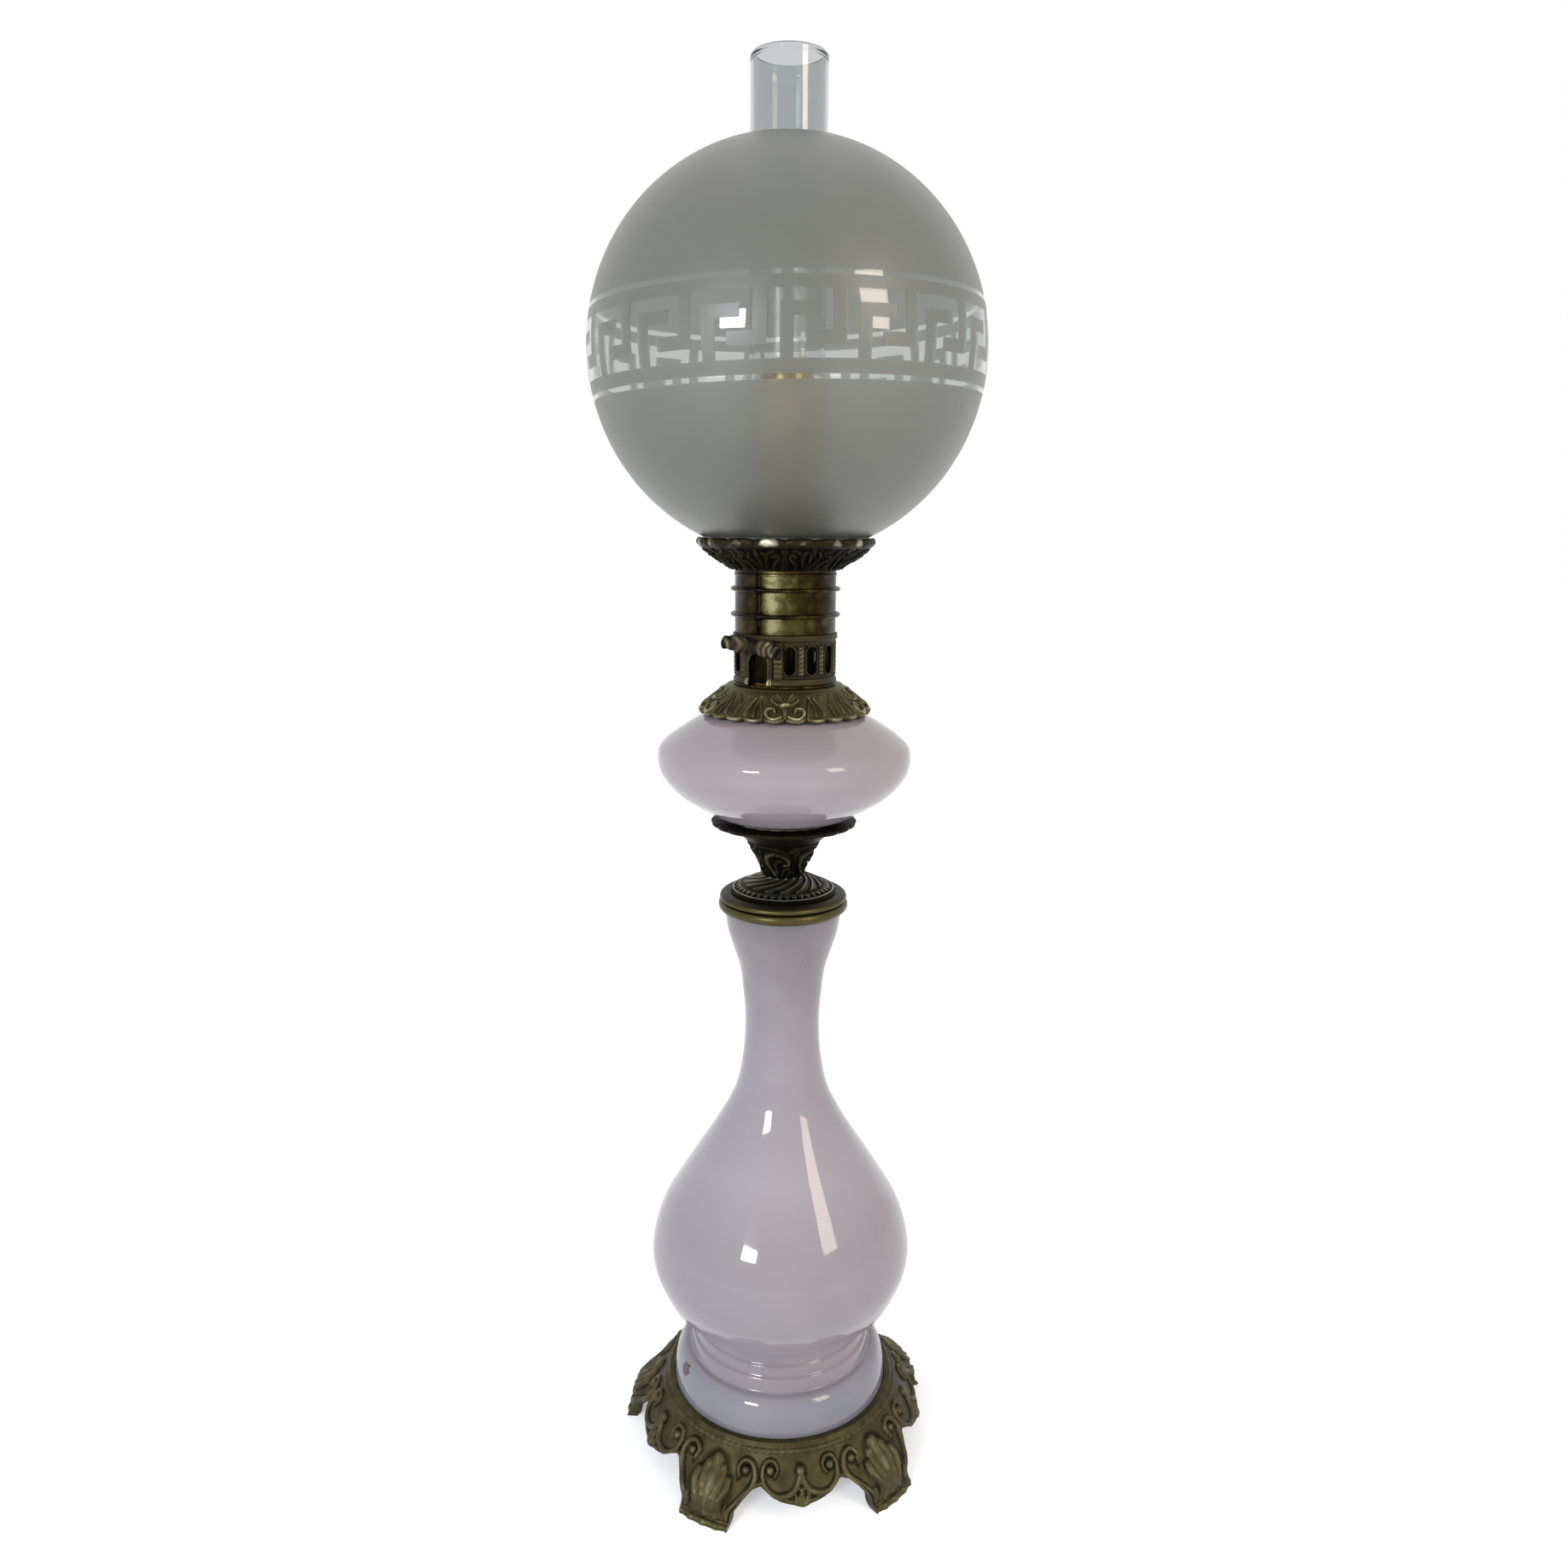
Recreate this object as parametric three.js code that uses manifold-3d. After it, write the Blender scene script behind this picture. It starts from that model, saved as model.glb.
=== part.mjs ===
// Tall kerosene lamp: a cast foot and a blown opaline vase carry an opaline oil font on a tie rod.
// A round-wick burner screws into the font. A pierced drum, a split sleeve and a leaf gallery
// stand on the burner and carry the chimney and the frosted globe.
// Millimetres, +Z up, origin on the ground at the centre line. The wick key faces -Y.

import * as THREE from 'three';
import { mergeVertices } from 'three/addons/utils/BufferGeometryUtils.js';
import Module from 'manifold-3d';

const wasm = await Module();
wasm.setup();

// Clearances between neighbouring pieces, and the overrun of every cut
const seatGap = 0.3;
const slideGap = 0.3;
const shaftGap = 0.05;
const fixedGap = 0.2;
const overrun = 1;

// Cast foot
const footCount = 5;
const foot = {
  height: 37.5, reach: 91, plate: 3.7, wall: 4.5, lipHeight: 2.3, toeAngle: 10, turn: 4.2,
};
// Height share and radius share of the leg ridge and of the skirt between two legs
const ridgeShares = [
  [0, 1], [0.07, 0.995], [0.2, 0.985], [0.39, 0.975], [0.5, 0.92], [0.62, 0.845], [0.8, 0.775], [1, 0.723],
];
const apronShares = [
  [0, 0.96], [0.2, 0.94], [0.325, 0.923], [0.5, 0.88], [0.625, 0.846], [0.75, 0.808], [0.9, 0.76], [1, 0.723],
];
// Angle from the middle of a leg in degrees, and the height share of the lower edge there
const edgeShares = [
  [0, 0], [10, 0], [11.2, 0.2], [13.5, 0.4], [16.5, 0.56], [20, 0.62], [27, 0.5], [36, 0.34],
];
// Height shares of the rings of the casting's outer and inner skin, from the top down and from the edge up
const outerRingShares = [0, 0.08, 0.18, 0.4, 0.68, 0.9, 1];
const innerRingShares = [0, 0.4, 1];

// Vase
const vase = {
  height: 288.8, wall: 3, rimRadius: 62.4, rimHeight: 2.5, shoulderRadius: 54, shoulderHeight: 22.3,
  discRadius: 52.4, discHeight: 3, bandStep: 1.3, bandHeight: 5.2, bandCount: 3, waistRadius: 47,
  waistHeight: 46, bulbRadius: 74.6, bulbRings: 12, innerRings: 5,
};
// Radius share of the bulb and height share above the waist
const bulbShares = [
  [0.73, 0.004], [0.855, 0.03], [0.94, 0.073], [1, 0.138], [0.984, 0.201], [0.912, 0.266], [0.798, 0.327],
  [0.673, 0.389], [0.544, 0.451], [0.429, 0.512], [0.342, 0.574], [0.294, 0.653], [0.281, 0.739],
  [0.302, 0.822], [0.324, 0.867], [0.371, 0.913], [0.4075, 0.95], [0.429, 1],
];

// Tie rod with its fasteners
const rod = { radius: 4, nutAcross: 13, nutHeight: 6, washerRadius: 16, washerThickness: 2, tail: 4 };
const bush = { flange: 3, plug: 8, taper: 2.2 };

// Stepped collar and swirled dome over the vase mouth
const collar = {
  seatRadius: 32.4, seatHeight: 0.4, lowerRadius: 35.6, lowerHeight: 5.2, grooveRadius: 33.6,
  upperHeight: 4.2,
};
// Radius share of the collar's lower round, and height share of its upper round
const collarTopShares = [[0.98, 0.3], [0.955, 0.7], [0.85, 1]];
const dome = { radius: 29.2, height: 9.3 };
const domeShares = [[1, 0], [1, 0.12], [0.9, 0.27], [0.72, 0.52], [0.58, 0.72], [0.43, 0.93], [0.4, 1]];

// Leafy cup
const cup = {
  height: 30.8, radius: 39.6, neckRadius: 11, coneRadius: 21.9, coneHeight: 21.2, wall: 5, floor: 4.6,
  dishDepth: 2.3, dishRadius: 27.5, dishSlope: 1.5,
};
// Radius share and height share of the cup's outer side
const cupShares = [
  [0.278, 0], [0.346, 0.25], [0.434, 0.477], [0.553, 0.688], [0.745, 0.812], [0.98, 0.877], [1, 0.91], [1, 1],
];
const cementThickness = 1.7;

// Opaline font
const font = {
  height: 68.4, radius: 67.8, wall: 3, baseRadius: 27, neckRadius: 27.5, mouthRadius: 24.5, rings: 11,
  innerRings: 5,
};
const fontShares = [
  [0.457, 0.013], [0.531, 0.035], [0.59, 0.064], [0.678, 0.1155], [0.752, 0.158], [0.848, 0.2252],
  [0.919, 0.298], [0.969, 0.3713], [0.996, 0.4443], [1, 0.519], [0.982, 0.5906], [0.907, 0.6633],
  [0.801, 0.7369], [0.697, 0.8], [0.59, 0.8565], [0.472, 0.897],
];

// Leaf collar on the font shoulder
const leaf = {
  lobes: 25, turn: -4.8, rimRadius: 44.6, topRadius: 28, height: 15.34, topThickness: 2.2, wall: 1.7,
  rimBevel: 1.4, scallop: 0.8, seatRise: 1.9,
};
const leafShares = [[1, 0], [1, 0.17], [0.895, 0.48], [0.778, 0.81], [0.628, 1]];

// Screw rings
const screw = {
  femaleOuterRadius: 24.2, femaleWall: 3.9, femaleHeight: 14.4, maleWall: 2.5, maleHeight: 10.7, drop: 0.3,
};

// Burner
const deck = { radius: 27, lip: 1, spigotHeight: 1.5, spigotRadius: 24.6 };
const draught = {
  radius: 9.2, wall: 0.8, bottom: 61, ductRadius: 3.5, ductWall: 0.7, ductRise: 4.5, ductReach: 17,
};
const wick = {
  thickness: 3, aboveTube: 1.5, waistStep: 2.8, tailDrop: 64, coneLow: 39.5, coneRise: 8.5, slitWidth: 8,
};
const wickTube = { wall: 0.8, below: 5, height: 158, waistTop: 35, flareTop: 43 };
const carrierRing = { height: 4, rise: 75, bite: 0.9, lugWidth: 2.3, slotGap: 0.7 };
const wickRaise = { down: 4, up: 12 };

// Wick drive
const gear = { module: 0.9, teeth: 10, width: 3, backlash: 0.2, rootDepth: 1.125 };
const spindle = { radius: 1.5, rise: 21.5, innerReach: 1.1 };
const rack = { back: 4, lowEnd: 7, toothTop: 29 };
const guide = { thickness: 1.5, height: 28, footLength: 6, footThickness: 1.4, overlap: 0.6 };
const post = { depth: 3.5, face: 20, baseHalf: 6, neckHalf: 2.7 };
const key = {
  leftSpan: 19.6, rightSpan: 17, halfHeight: 4.6, thickness: 4.6, standOff: 2, bossRadius: 3, bossLength: 2.6,
  roll: 6.5,
};
// Outline of one wing of the key: span share and height share
const wingShares = [
  [0.12, 0.62], [0.32, 0.95], [0.5, 0.66], [0.66, 1], [0.86, 0.9], [1, 0.2], [0.94, -0.5], [0.72, -0.8],
  [0.52, -0.45], [0.34, -0.85], [0.14, -0.6],
];

// Pierced drum
const drum = {
  radius: 26.5, wall: 1.5, height: 25.7, plinth: 3.2, plinthReach: 0.8, ledge: 3.5, ledgeReach: 1,
  windows: 12, windowWidth: 5.7, windowLow: 5.7, windowHeight: 14.3, firstWindow: 36.3,
  doorHalf: 5.5, doorHeight: 16.7, frameWidth: 2.4, frameReach: 1, notchHalf: 2,
};

// Split sleeve with its wire rings
const sleeve = {
  wall: 0.8, height: 31.7, slit: 1.2, wireRadius: 1.1, ringRises: { lower: 9.2, upper: 22.4 },
};

// Globe gallery
const gallery = {
  lobes: 18, rimRadius: 46.3, height: 16.7, scallop: 0.8, ledgeRise: 12.4, ledgeInner: 30,
  ledgeThickness: 1.4,
};
const galleryShares = [
  [0.592, 0], [0.7, 0.19], [0.85, 0.45], [0.985, 0.75], [1, 0.9], [0.975, 1], [0.945, 0.88],
];
const galleryInnerShares = [[0.84, 0.6], [0.7, 0.28]];

// Chimney holder and chimney
const holder = {
  wall: 0.8, bottomRise: 4.7, tubeHeight: 40.3, ledgeReach: 2.2, ledgeThickness: 2, fingerHeight: 27,
  fingers: 8, slotWidth: 5,
};
const chimney = {
  wall: 1.6, baseHeight: 77, shoulder: 14, radius: 19, height: 230.4, lip: 1.3, lipHeight: 2.4,
};

// Globe
const globe = {
  radius: 100, wall: 2.2, fitterRadius: 42.6, fitterHeight: 3.85, mouthRadius: 34, halfRings: 5,
  innerHalfRings: 3,
};

// Finishes: colour, roughness, metalness and, for glass, opacity
const finishes = {
  bronze: { color: 0x5b4e2f, roughness: 0.45, metalness: 1 },
  brass: { color: 0x8c7840, roughness: 0.4, metalness: 1 },
  gold: { color: 0xc8ab5e, roughness: 0.35, metalness: 1 },
  steel: { color: 0x77736a, roughness: 0.5, metalness: 1 },
  opaline: { color: 0xdcc8d0, roughness: 0.12, metalness: 0 },
  clearGlass: { color: 0xeef3f0, roughness: 0.02, metalness: 0, transparent: true, opacity: 0.3 },
  frosted: { color: 0xd4d6d0, roughness: 0.5, metalness: 0, transparent: true, opacity: 0.6 },
  cotton: { color: 0xe6dcc4, roughness: 0.95, metalness: 0 },
  plaster: { color: 0xc9c0ae, roughness: 0.9, metalness: 0 },
};

const globeFacets = 32;
const mainFacets = 24;
const innerFacets = 20;
const shaftFacets = 12;
const nutSides = 6;
const wireFacets = 5;
const archFacets = 6;
const crownFacets = 8;
const mouldingFacets = 4;

const radians = THREE.MathUtils.degToRad;
const last = (list) => list[list.length - 1];

// Radii of the nested pieces, from the draught tube outwards
const wickInner = draught.radius + slideGap;
const wickOuter = wickInner + wick.thickness;
const tubeInner = wickOuter + slideGap;
const tubeOuter = tubeInner + wickTube.wall;
const holderOuter = drum.radius - fixedGap / 2 - sleeve.wall - slideGap;
const holderInner = holderOuter - holder.wall;
const sleeveInner = holderOuter + slideGap;
const sleeveOuter = sleeveInner + sleeve.wall;
const chimneyBaseRadius = holderInner - slideGap;
const femaleInner = screw.femaleOuterRadius - screw.femaleWall;
const maleOuter = femaleInner - slideGap;

// Heights of the stacked pieces, from the ground up
const plateTop = foot.height - foot.lipHeight;
const plateBottom = plateTop - foot.plate;
const vaseBottom = plateTop + seatGap;
const vaseTop = vaseBottom + vase.height;
const collarBottom = vaseTop + seatGap;
const collarTop = collarBottom + collar.seatHeight + collar.lowerHeight + collar.upperHeight;
const domeBottom = collarTop + seatGap;
const domeTop = domeBottom + dome.height;
const cupBottom = domeTop + seatGap;
const cupTop = cupBottom + cup.height;
const fontBottom = cupTop + seatGap + fixedGap;
const fontTop = fontBottom + font.height;
const leafSeat = fontBottom + lerpShare(fontShares, leaf.rimRadius / font.radius) * font.height;
const leafTop = leafSeat + leaf.seatRise + leaf.height;
const deckBottom = leafTop + seatGap;
const deckLip = deckBottom + deck.lip;
const deckTop = deckLip + deck.spigotHeight;
const drumBottom = deckLip + seatGap;
const drumTop = drumBottom + drum.height;
const sleeveBottom = drumTop + seatGap;
const sleeveTop = sleeveBottom + sleeve.height;
const galleryBottom = sleeveTop + seatGap;
const holderBottom = drumTop + holder.bottomRise;
const holderLedge = holderBottom + holder.tubeHeight;
const chimneyBottom = holderLedge + seatGap;
const globeBottom = galleryBottom + gallery.ledgeRise + seatGap;
const spindleHeight = deckBottom + spindle.rise;
const tubeTop = deckBottom + wickTube.height;

// Height share at which the upper part of an outline of shares passes a radius share
function lerpShare(shares, radiusShare) {
  const upper = shares.slice(shares.findIndex(([share]) => share === 1));
  const next = upper.findIndex(([share]) => share < radiusShare);
  const [r1, h1] = upper[next];
  const [r0, h0] = upper[next - 1];
  return h0 + ((h1 - h0) * (r0 - radiusShare)) / (r0 - r1);
}

// Value of a table of [position, value] pairs at a position, straight between its entries
function tableAt(table, position) {
  const next = Math.max(1, table.findIndex(([place]) => place >= position));
  const [p0, v0] = table[next - 1];
  const [p1, v1] = table[next];
  return v0 + ((v1 - v0) * (position - p0)) / (p1 - p0);
}

// A surface with its shared corners merged and its collapsed triangles dropped, facing out
function closed(geometry) {
  const bare = geometry.clone();
  bare.deleteAttribute('normal');
  bare.deleteAttribute('uv');
  const merged = mergeVertices(bare, 1e-4);
  const corners = [];
  const index = merged.index.array;
  for (let i = 0; i < index.length; i += 3) {
    const [a, b, c] = [index[i], index[i + 1], index[i + 2]];
    if (a !== b && b !== c && c !== a) corners.push(a, b, c);
  }
  const place = merged.attributes.position;
  const [p, q, s] = [new THREE.Vector3(), new THREE.Vector3(), new THREE.Vector3()];
  let volume = 0;
  for (let i = 0; i < corners.length; i += 3) {
    p.fromBufferAttribute(place, corners[i]);
    q.fromBufferAttribute(place, corners[i + 1]);
    s.fromBufferAttribute(place, corners[i + 2]);
    volume += p.dot(q.cross(s));
  }
  if (volume < 0) corners.reverse();
  merged.setIndex(corners);
  return merged;
}

// Solid of revolution about +Z from a closed outline of [radius, height]
function turned(outline, facets = mainFacets) {
  const points = outline.map(([radius, height]) => new THREE.Vector2(radius, height));
  points.push(points[0].clone());
  return closed(new THREE.LatheGeometry(points, facets).rotateX(Math.PI / 2));
}

// Ring whose closed outline changes with the angle from -Y. All outlines have as many points.
function lofted(outlineAt, angles) {
  const outlines = angles.map((angle) => outlineAt(angle));
  const size = outlines[0].length;
  const positions = [];
  const index = [];
  outlines.forEach((outline, i) => {
    const [x, y] = [Math.sin(angles[i]), -Math.cos(angles[i])];
    const after = (i + 1) % angles.length;
    outline.forEach(([radius, height], j) => {
      const up = (j + 1) % size;
      positions.push(radius * x, radius * y, height);
      const [a, b, c, d] = [i * size + j, after * size + j, after * size + up, i * size + up];
      index.push(a, b, c, a, c, d);
    });
  });
  const geometry = new THREE.BufferGeometry();
  geometry.setAttribute('position', new THREE.Float32BufferAttribute(positions, 3));
  geometry.setIndex(index);
  return closed(geometry);
}

function toManifold(geometry) {
  const solid = closed(geometry);
  return new wasm.Manifold(new wasm.Mesh({
    numProp: 3,
    vertProperties: new Float32Array(solid.attributes.position.array),
    triVerts: new Uint32Array(solid.index.array),
  }));
}

function fromManifold(manifold) {
  const mesh = manifold.getMesh();
  const geometry = new THREE.BufferGeometry();
  geometry.setAttribute('position', new THREE.BufferAttribute(mesh.vertProperties, 3));
  geometry.setIndex(new THREE.BufferAttribute(mesh.triVerts, 1));
  return geometry;
}

// A body with further bodies joined to it, and then with others cut from it
function shaped(body, joins, cuts) {
  let solid = toManifold(body);
  for (const join of joins) solid = solid.add(toManifold(join));
  for (const cut of cuts) solid = solid.subtract(toManifold(cut));
  return fromManifold(solid);
}

// Block between two corners
function block(low, high) {
  const size = low.map((value, i) => high[i] - value);
  const middle = low.map((value, i) => (high[i] + value) / 2);
  return new THREE.BoxGeometry(...size).translate(...middle);
}

// Round or hexagonal bar on the centre line, from one height to another
function uprightBar(radius, low, high, facets = shaftFacets) {
  const bar = new THREE.CylinderGeometry(radius, radius, high - low, facets).rotateX(Math.PI / 2);
  return bar.translate(0, 0, (low + high) / 2);
}

// Round bar from one distance in front of the centre line to another, along -Y
function barTowardsFront(radius, near, far, height, facets = shaftFacets) {
  const bar = new THREE.CylinderGeometry(radius, radius, far - near, facets);
  return bar.translate(0, -(near + far) / 2, height);
}

// Plate with the outline of a shape in the XZ plane, from one distance in front to another
function plateTowardsFront(shape, near, far, curveSegments) {
  const plate = new THREE.ExtrudeGeometry(shape, { depth: far - near, bevelEnabled: false, curveSegments });
  return plate.rotateX(Math.PI / 2).translate(0, -near, 0);
}

// Radius of a faceted bore that clears a round bar
function boreRadius(radius, gap, facets = shaftFacets) {
  return (radius + gap) / Math.cos(Math.PI / facets);
}

// Half-round moulding that stands out of a wall between two heights
function moulding(wallRadius, reach, low, high, steps) {
  return Array.from({ length: steps + 1 }, (_, i) => {
    const turn = (Math.PI * i) / steps;
    return [wallRadius + reach * Math.sin(turn), low + ((high - low) * (1 - Math.cos(turn))) / 2];
  });
}

// Points of a smooth curve through [radius, height] points
function smooth(points, steps) {
  const curve = new THREE.SplineCurve(points.map(([radius, height]) => new THREE.Vector2(radius, height)));
  return curve.getSpacedPoints(steps).map(({ x, y }) => [x, y]);
}

// The same outline one wall further in, on its left hand
function inset(points, wall) {
  return points.map(([radius, height], i) => {
    const [r0, h0] = points[Math.max(i - 1, 0)];
    const [r1, h1] = points[Math.min(i + 1, points.length - 1)];
    const length = Math.hypot(r1 - r0, h1 - h0);
    return [radius - (wall * (h1 - h0)) / length, height + (wall * (r1 - r0)) / length];
  });
}

const scaled = (shares, radius, low, height) => shares.map(([r, h]) => [r * radius, low + h * height]);

const evenAngles = (count) => Array.from({ length: count }, (_, i) => (2 * Math.PI * i) / count);

const lamp = new THREE.Group();

function addPiece(name, geometry, finish) {
  const mesh = new THREE.Mesh(geometry, new THREE.MeshStandardMaterial(finishes[finish]));
  mesh.name = name;
  lamp.add(mesh);
  return mesh;
}

// Foot: a dished plate with a lip for the vase and an apron that runs down into five legs
function footOutline(angle) {
  const pitch = (2 * Math.PI) / footCount;
  const fromLeg = angle - radians(foot.turn);
  const offset = Math.abs(fromLeg - Math.round(fromLeg / pitch) * pitch);
  const degrees = Math.min(THREE.MathUtils.radToDeg(offset), last(edgeShares)[0]);
  const low = tableAt(edgeShares, degrees) * foot.height;
  const leg = 1 - THREE.MathUtils.smoothstep(degrees, foot.toeAngle, 2 * foot.toeAngle);
  const radiusAt = (height) => {
    const share = height / foot.height;
    const ridge = tableAt(ridgeShares, share);
    const apron = tableAt(apronShares, share);
    return foot.reach * (apron + (ridge - apron) * leg);
  };
  const outer = outerRingShares.map((share) => foot.height + (low - foot.height) * share);
  const inner = innerRingShares.map((share) => low + (plateBottom - low) * share);
  const hole = rod.radius + slideGap;
  const lipInner = vase.rimRadius + seatGap;
  return [
    [hole, plateTop],
    [lipInner, plateTop],
    [lipInner, foot.height],
    ...outer.map((height) => [radiusAt(height), height]),
    ...inner.map((height) => [radiusAt(height) - foot.wall, height]),
    [hole, plateBottom],
  ];
}
const legAngles = edgeShares.map(([degrees]) => degrees).slice(0, -1);
const footAngles = evenAngles(footCount).map((angle) => angle + radians(foot.turn)).flatMap((centre) => [
  ...legAngles.slice(1).reverse().map((degrees) => centre - radians(degrees)),
  ...legAngles.map((degrees) => centre + radians(degrees)),
  centre + radians(last(edgeShares)[0]),
]);
addPiece('base_casting', lofted(footOutline, footAngles), 'bronze');

// Foot fasteners
const washerTop = plateBottom - seatGap;
const washerBottom = washerTop - rod.washerThickness;
const rodBore = boreRadius(rod.radius, fixedGap);
addPiece('foot_washer', turned([
  [rodBore, washerBottom],
  [rod.washerRadius, washerBottom],
  [rod.washerRadius, washerTop],
  [rodBore, washerTop],
], innerFacets), 'steel');

function hexNut(bottom) {
  const radius = rod.nutAcross / Math.sqrt(3);
  return shaped(
    uprightBar(radius, bottom, bottom + rod.nutHeight, nutSides),
    [],
    [uprightBar(rodBore, bottom - overrun, bottom + rod.nutHeight + overrun)],
  );
}
const footNutBottom = washerBottom - seatGap - rod.nutHeight;
addPiece('foot_nut', hexNut(footNutBottom), 'steel');

const cupNutBottom = cupBottom + cup.floor + seatGap;
const rodBottom = footNutBottom - rod.tail;
const rodTop = cupNutBottom + rod.nutHeight + rod.tail;
addPiece('tie_rod', uprightBar(rod.radius, rodBottom, rodTop), 'steel');

// Vase: a moulded foot with stepped bands, and a blown bulb that draws in to a long neck
const waistHeight = vaseBottom + vase.waistHeight;
const shoulder = Array.from({ length: mouldingFacets }, (_, i) => {
  const turn = (Math.PI / 2) * (i / (mouldingFacets - 1));
  return [
    vase.shoulderRadius + (vase.rimRadius - vase.shoulderRadius) * Math.cos(turn),
    vaseBottom + vase.rimHeight + (vase.shoulderHeight - vase.rimHeight) * Math.sin(turn),
  ];
});
const discBottom = vaseBottom + vase.shoulderHeight;
const bandBottom = discBottom + vase.discHeight;
const bands = Array.from({ length: vase.bandCount }, (_, i) => {
  const radius = vase.discRadius - vase.bandStep * (i + 1);
  return [[radius, bandBottom + i * vase.bandHeight], [radius, bandBottom + (i + 1) * vase.bandHeight]];
}).flat();
const bulbHeight = vaseTop - waistHeight;
const bulb = scaled(bulbShares, vase.bulbRadius, waistHeight, bulbHeight);
const bulbOuter = smooth(bulb, vase.bulbRings);
const bulbInner = inset(smooth(bulb, vase.innerRings), vase.wall);
bulbInner[bulbInner.length - 1][1] = vaseTop;
addPiece('vase', turned([
  [vase.rimRadius - vase.wall, vaseBottom],
  [vase.rimRadius, vaseBottom],
  ...shoulder,
  [vase.discRadius, discBottom],
  [vase.discRadius, bandBottom],
  ...bands,
  [vase.waistRadius, waistHeight],
  ...bulbOuter,
  ...bulbInner.reverse(),
  [vase.waistRadius - vase.wall, waistHeight + vase.wall],
  [vase.waistRadius - vase.wall, bandBottom],
  [vase.shoulderRadius - vase.wall, discBottom - vase.wall],
]), 'opaline');

// Bush that centres the rod in the neck: a flange inside the collar's seat and a tapered plug
const neckInner = last(bulbShares)[0] * vase.bulbRadius - vase.wall;
addPiece('neck_bush', turned([
  [rodBore, vaseTop - bush.plug],
  [neckInner - bush.taper - bush.plug / 3, vaseTop - bush.plug],
  [neckInner - bush.taper, vaseTop - bush.flange],
  [neckInner - bush.taper, vaseTop],
  [rodBore, vaseTop],
], innerFacets), 'plaster');

const collarLower = collarBottom + collar.seatHeight;
const collarUpper = collarLower + collar.lowerHeight;
const collarReach = collar.lowerRadius - collar.grooveRadius;
addPiece('vase_collar', turned([
  [rodBore, collarBottom],
  [collar.seatRadius, collarBottom],
  ...moulding(collar.grooveRadius, collarReach, collarLower, collarUpper, mouldingFacets),
  ...scaled(collarTopShares, collar.lowerRadius, collarUpper, collar.upperHeight),
  [rodBore, collarTop],
], innerFacets), 'bronze');

addPiece('stem_dome', turned([
  [rodBore, domeBottom],
  ...scaled(domeShares, dome.radius, domeBottom, dome.height),
  [rodBore, domeTop],
], innerFacets), 'bronze');

// Cup: a leafy cone under a stepped rim, dished on top for the font
const coneTop = cupBottom + cup.coneHeight;
const dishFloor = cupTop - cup.dishDepth;
addPiece('font_cup', turned([
  [rodBore, cupBottom],
  ...scaled(cupShares, cup.radius, cupBottom, cup.height),
  [cup.dishRadius + cup.dishSlope, cupTop],
  [cup.dishRadius, dishFloor],
  [cup.coneRadius - cup.wall / 2, dishFloor],
  [cup.coneRadius - cup.wall, coneTop],
  [cup.neckRadius - cup.floor / 2, cupBottom + cup.floor],
  [rodBore, cupBottom + cup.floor],
], innerFacets), 'bronze');

addPiece('cup_nut', hexNut(cupNutBottom), 'steel');

const cementBottom = dishFloor + seatGap;
addPiece('font_cement', turned([
  [cup.coneRadius - cup.wall / 2, cementBottom],
  [cup.dishRadius - seatGap, cementBottom],
  [cup.dishRadius - seatGap, cementBottom + cementThickness],
  [cup.coneRadius - cup.wall / 2, cementBottom + cementThickness],
], innerFacets), 'plaster');

// Font: a squat blown vessel, closed below, with a short neck
const fontSide = scaled(fontShares, font.radius, fontBottom, font.height);
const fontOuter = smooth(fontSide, font.rings);
const fontInner = inset(smooth(fontSide, font.innerRings), font.wall);
const neckBend = last(fontOuter)[1] + font.wall;
addPiece('font', turned([
  [0, fontBottom],
  [font.baseRadius, fontBottom],
  ...fontOuter,
  [font.neckRadius, neckBend],
  [font.neckRadius, fontTop],
  [font.mouthRadius, fontTop],
  [font.mouthRadius, neckBend - font.wall],
  ...fontInner.reverse(),
  [font.baseRadius - font.wall, fontBottom + font.wall],
  [0, fontBottom + font.wall],
]), 'opaline');

// Leaf collar: a flared skirt whose rim is scalloped and whose lobes fade out towards the top
function leafOutline(angle) {
  const wave = Math.cos(leaf.lobes * (angle - radians(leaf.turn)));
  const low = leafTop - leaf.height;
  const outer = scaled(leafShares, leaf.rimRadius, low, leaf.height).map(([radius, height], i) => {
    const fade = 1 - leafShares[i][1];
    return [radius + leaf.scallop * wave * fade, height];
  });
  const inner = outer.slice(0, -2).map(([radius, height], i) => {
    const bevel = i === 0 ? leaf.rimBevel : 0;
    return [radius - leaf.wall, height + bevel];
  });
  const bore = screw.femaleOuterRadius + fixedGap;
  return [
    ...outer,
    [bore, leafTop],
    [bore, leafTop - leaf.topThickness],
    [leaf.topRadius, leafTop - leaf.topThickness],
    ...inner.reverse(),
  ];
}
const leafAngles = evenAngles(leaf.lobes * 2).map((angle) => angle + radians(leaf.turn));
addPiece('font_collar', lofted(leafOutline, leafAngles), 'bronze');

const femaleTop = leafTop - screw.drop;
addPiece('collar_thread', turned([
  [femaleInner, femaleTop - screw.femaleHeight],
  [screw.femaleOuterRadius, femaleTop - screw.femaleHeight],
  [screw.femaleOuterRadius, femaleTop],
  [femaleInner, femaleTop],
], innerFacets), 'brass');

const maleTop = deckBottom - seatGap;
addPiece('burner_thread_ring', turned([
  [maleOuter - screw.maleWall, maleTop - screw.maleHeight],
  [maleOuter, maleTop - screw.maleHeight],
  [maleOuter, maleTop],
  [maleOuter - screw.maleWall, maleTop],
], innerFacets), 'brass');

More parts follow.
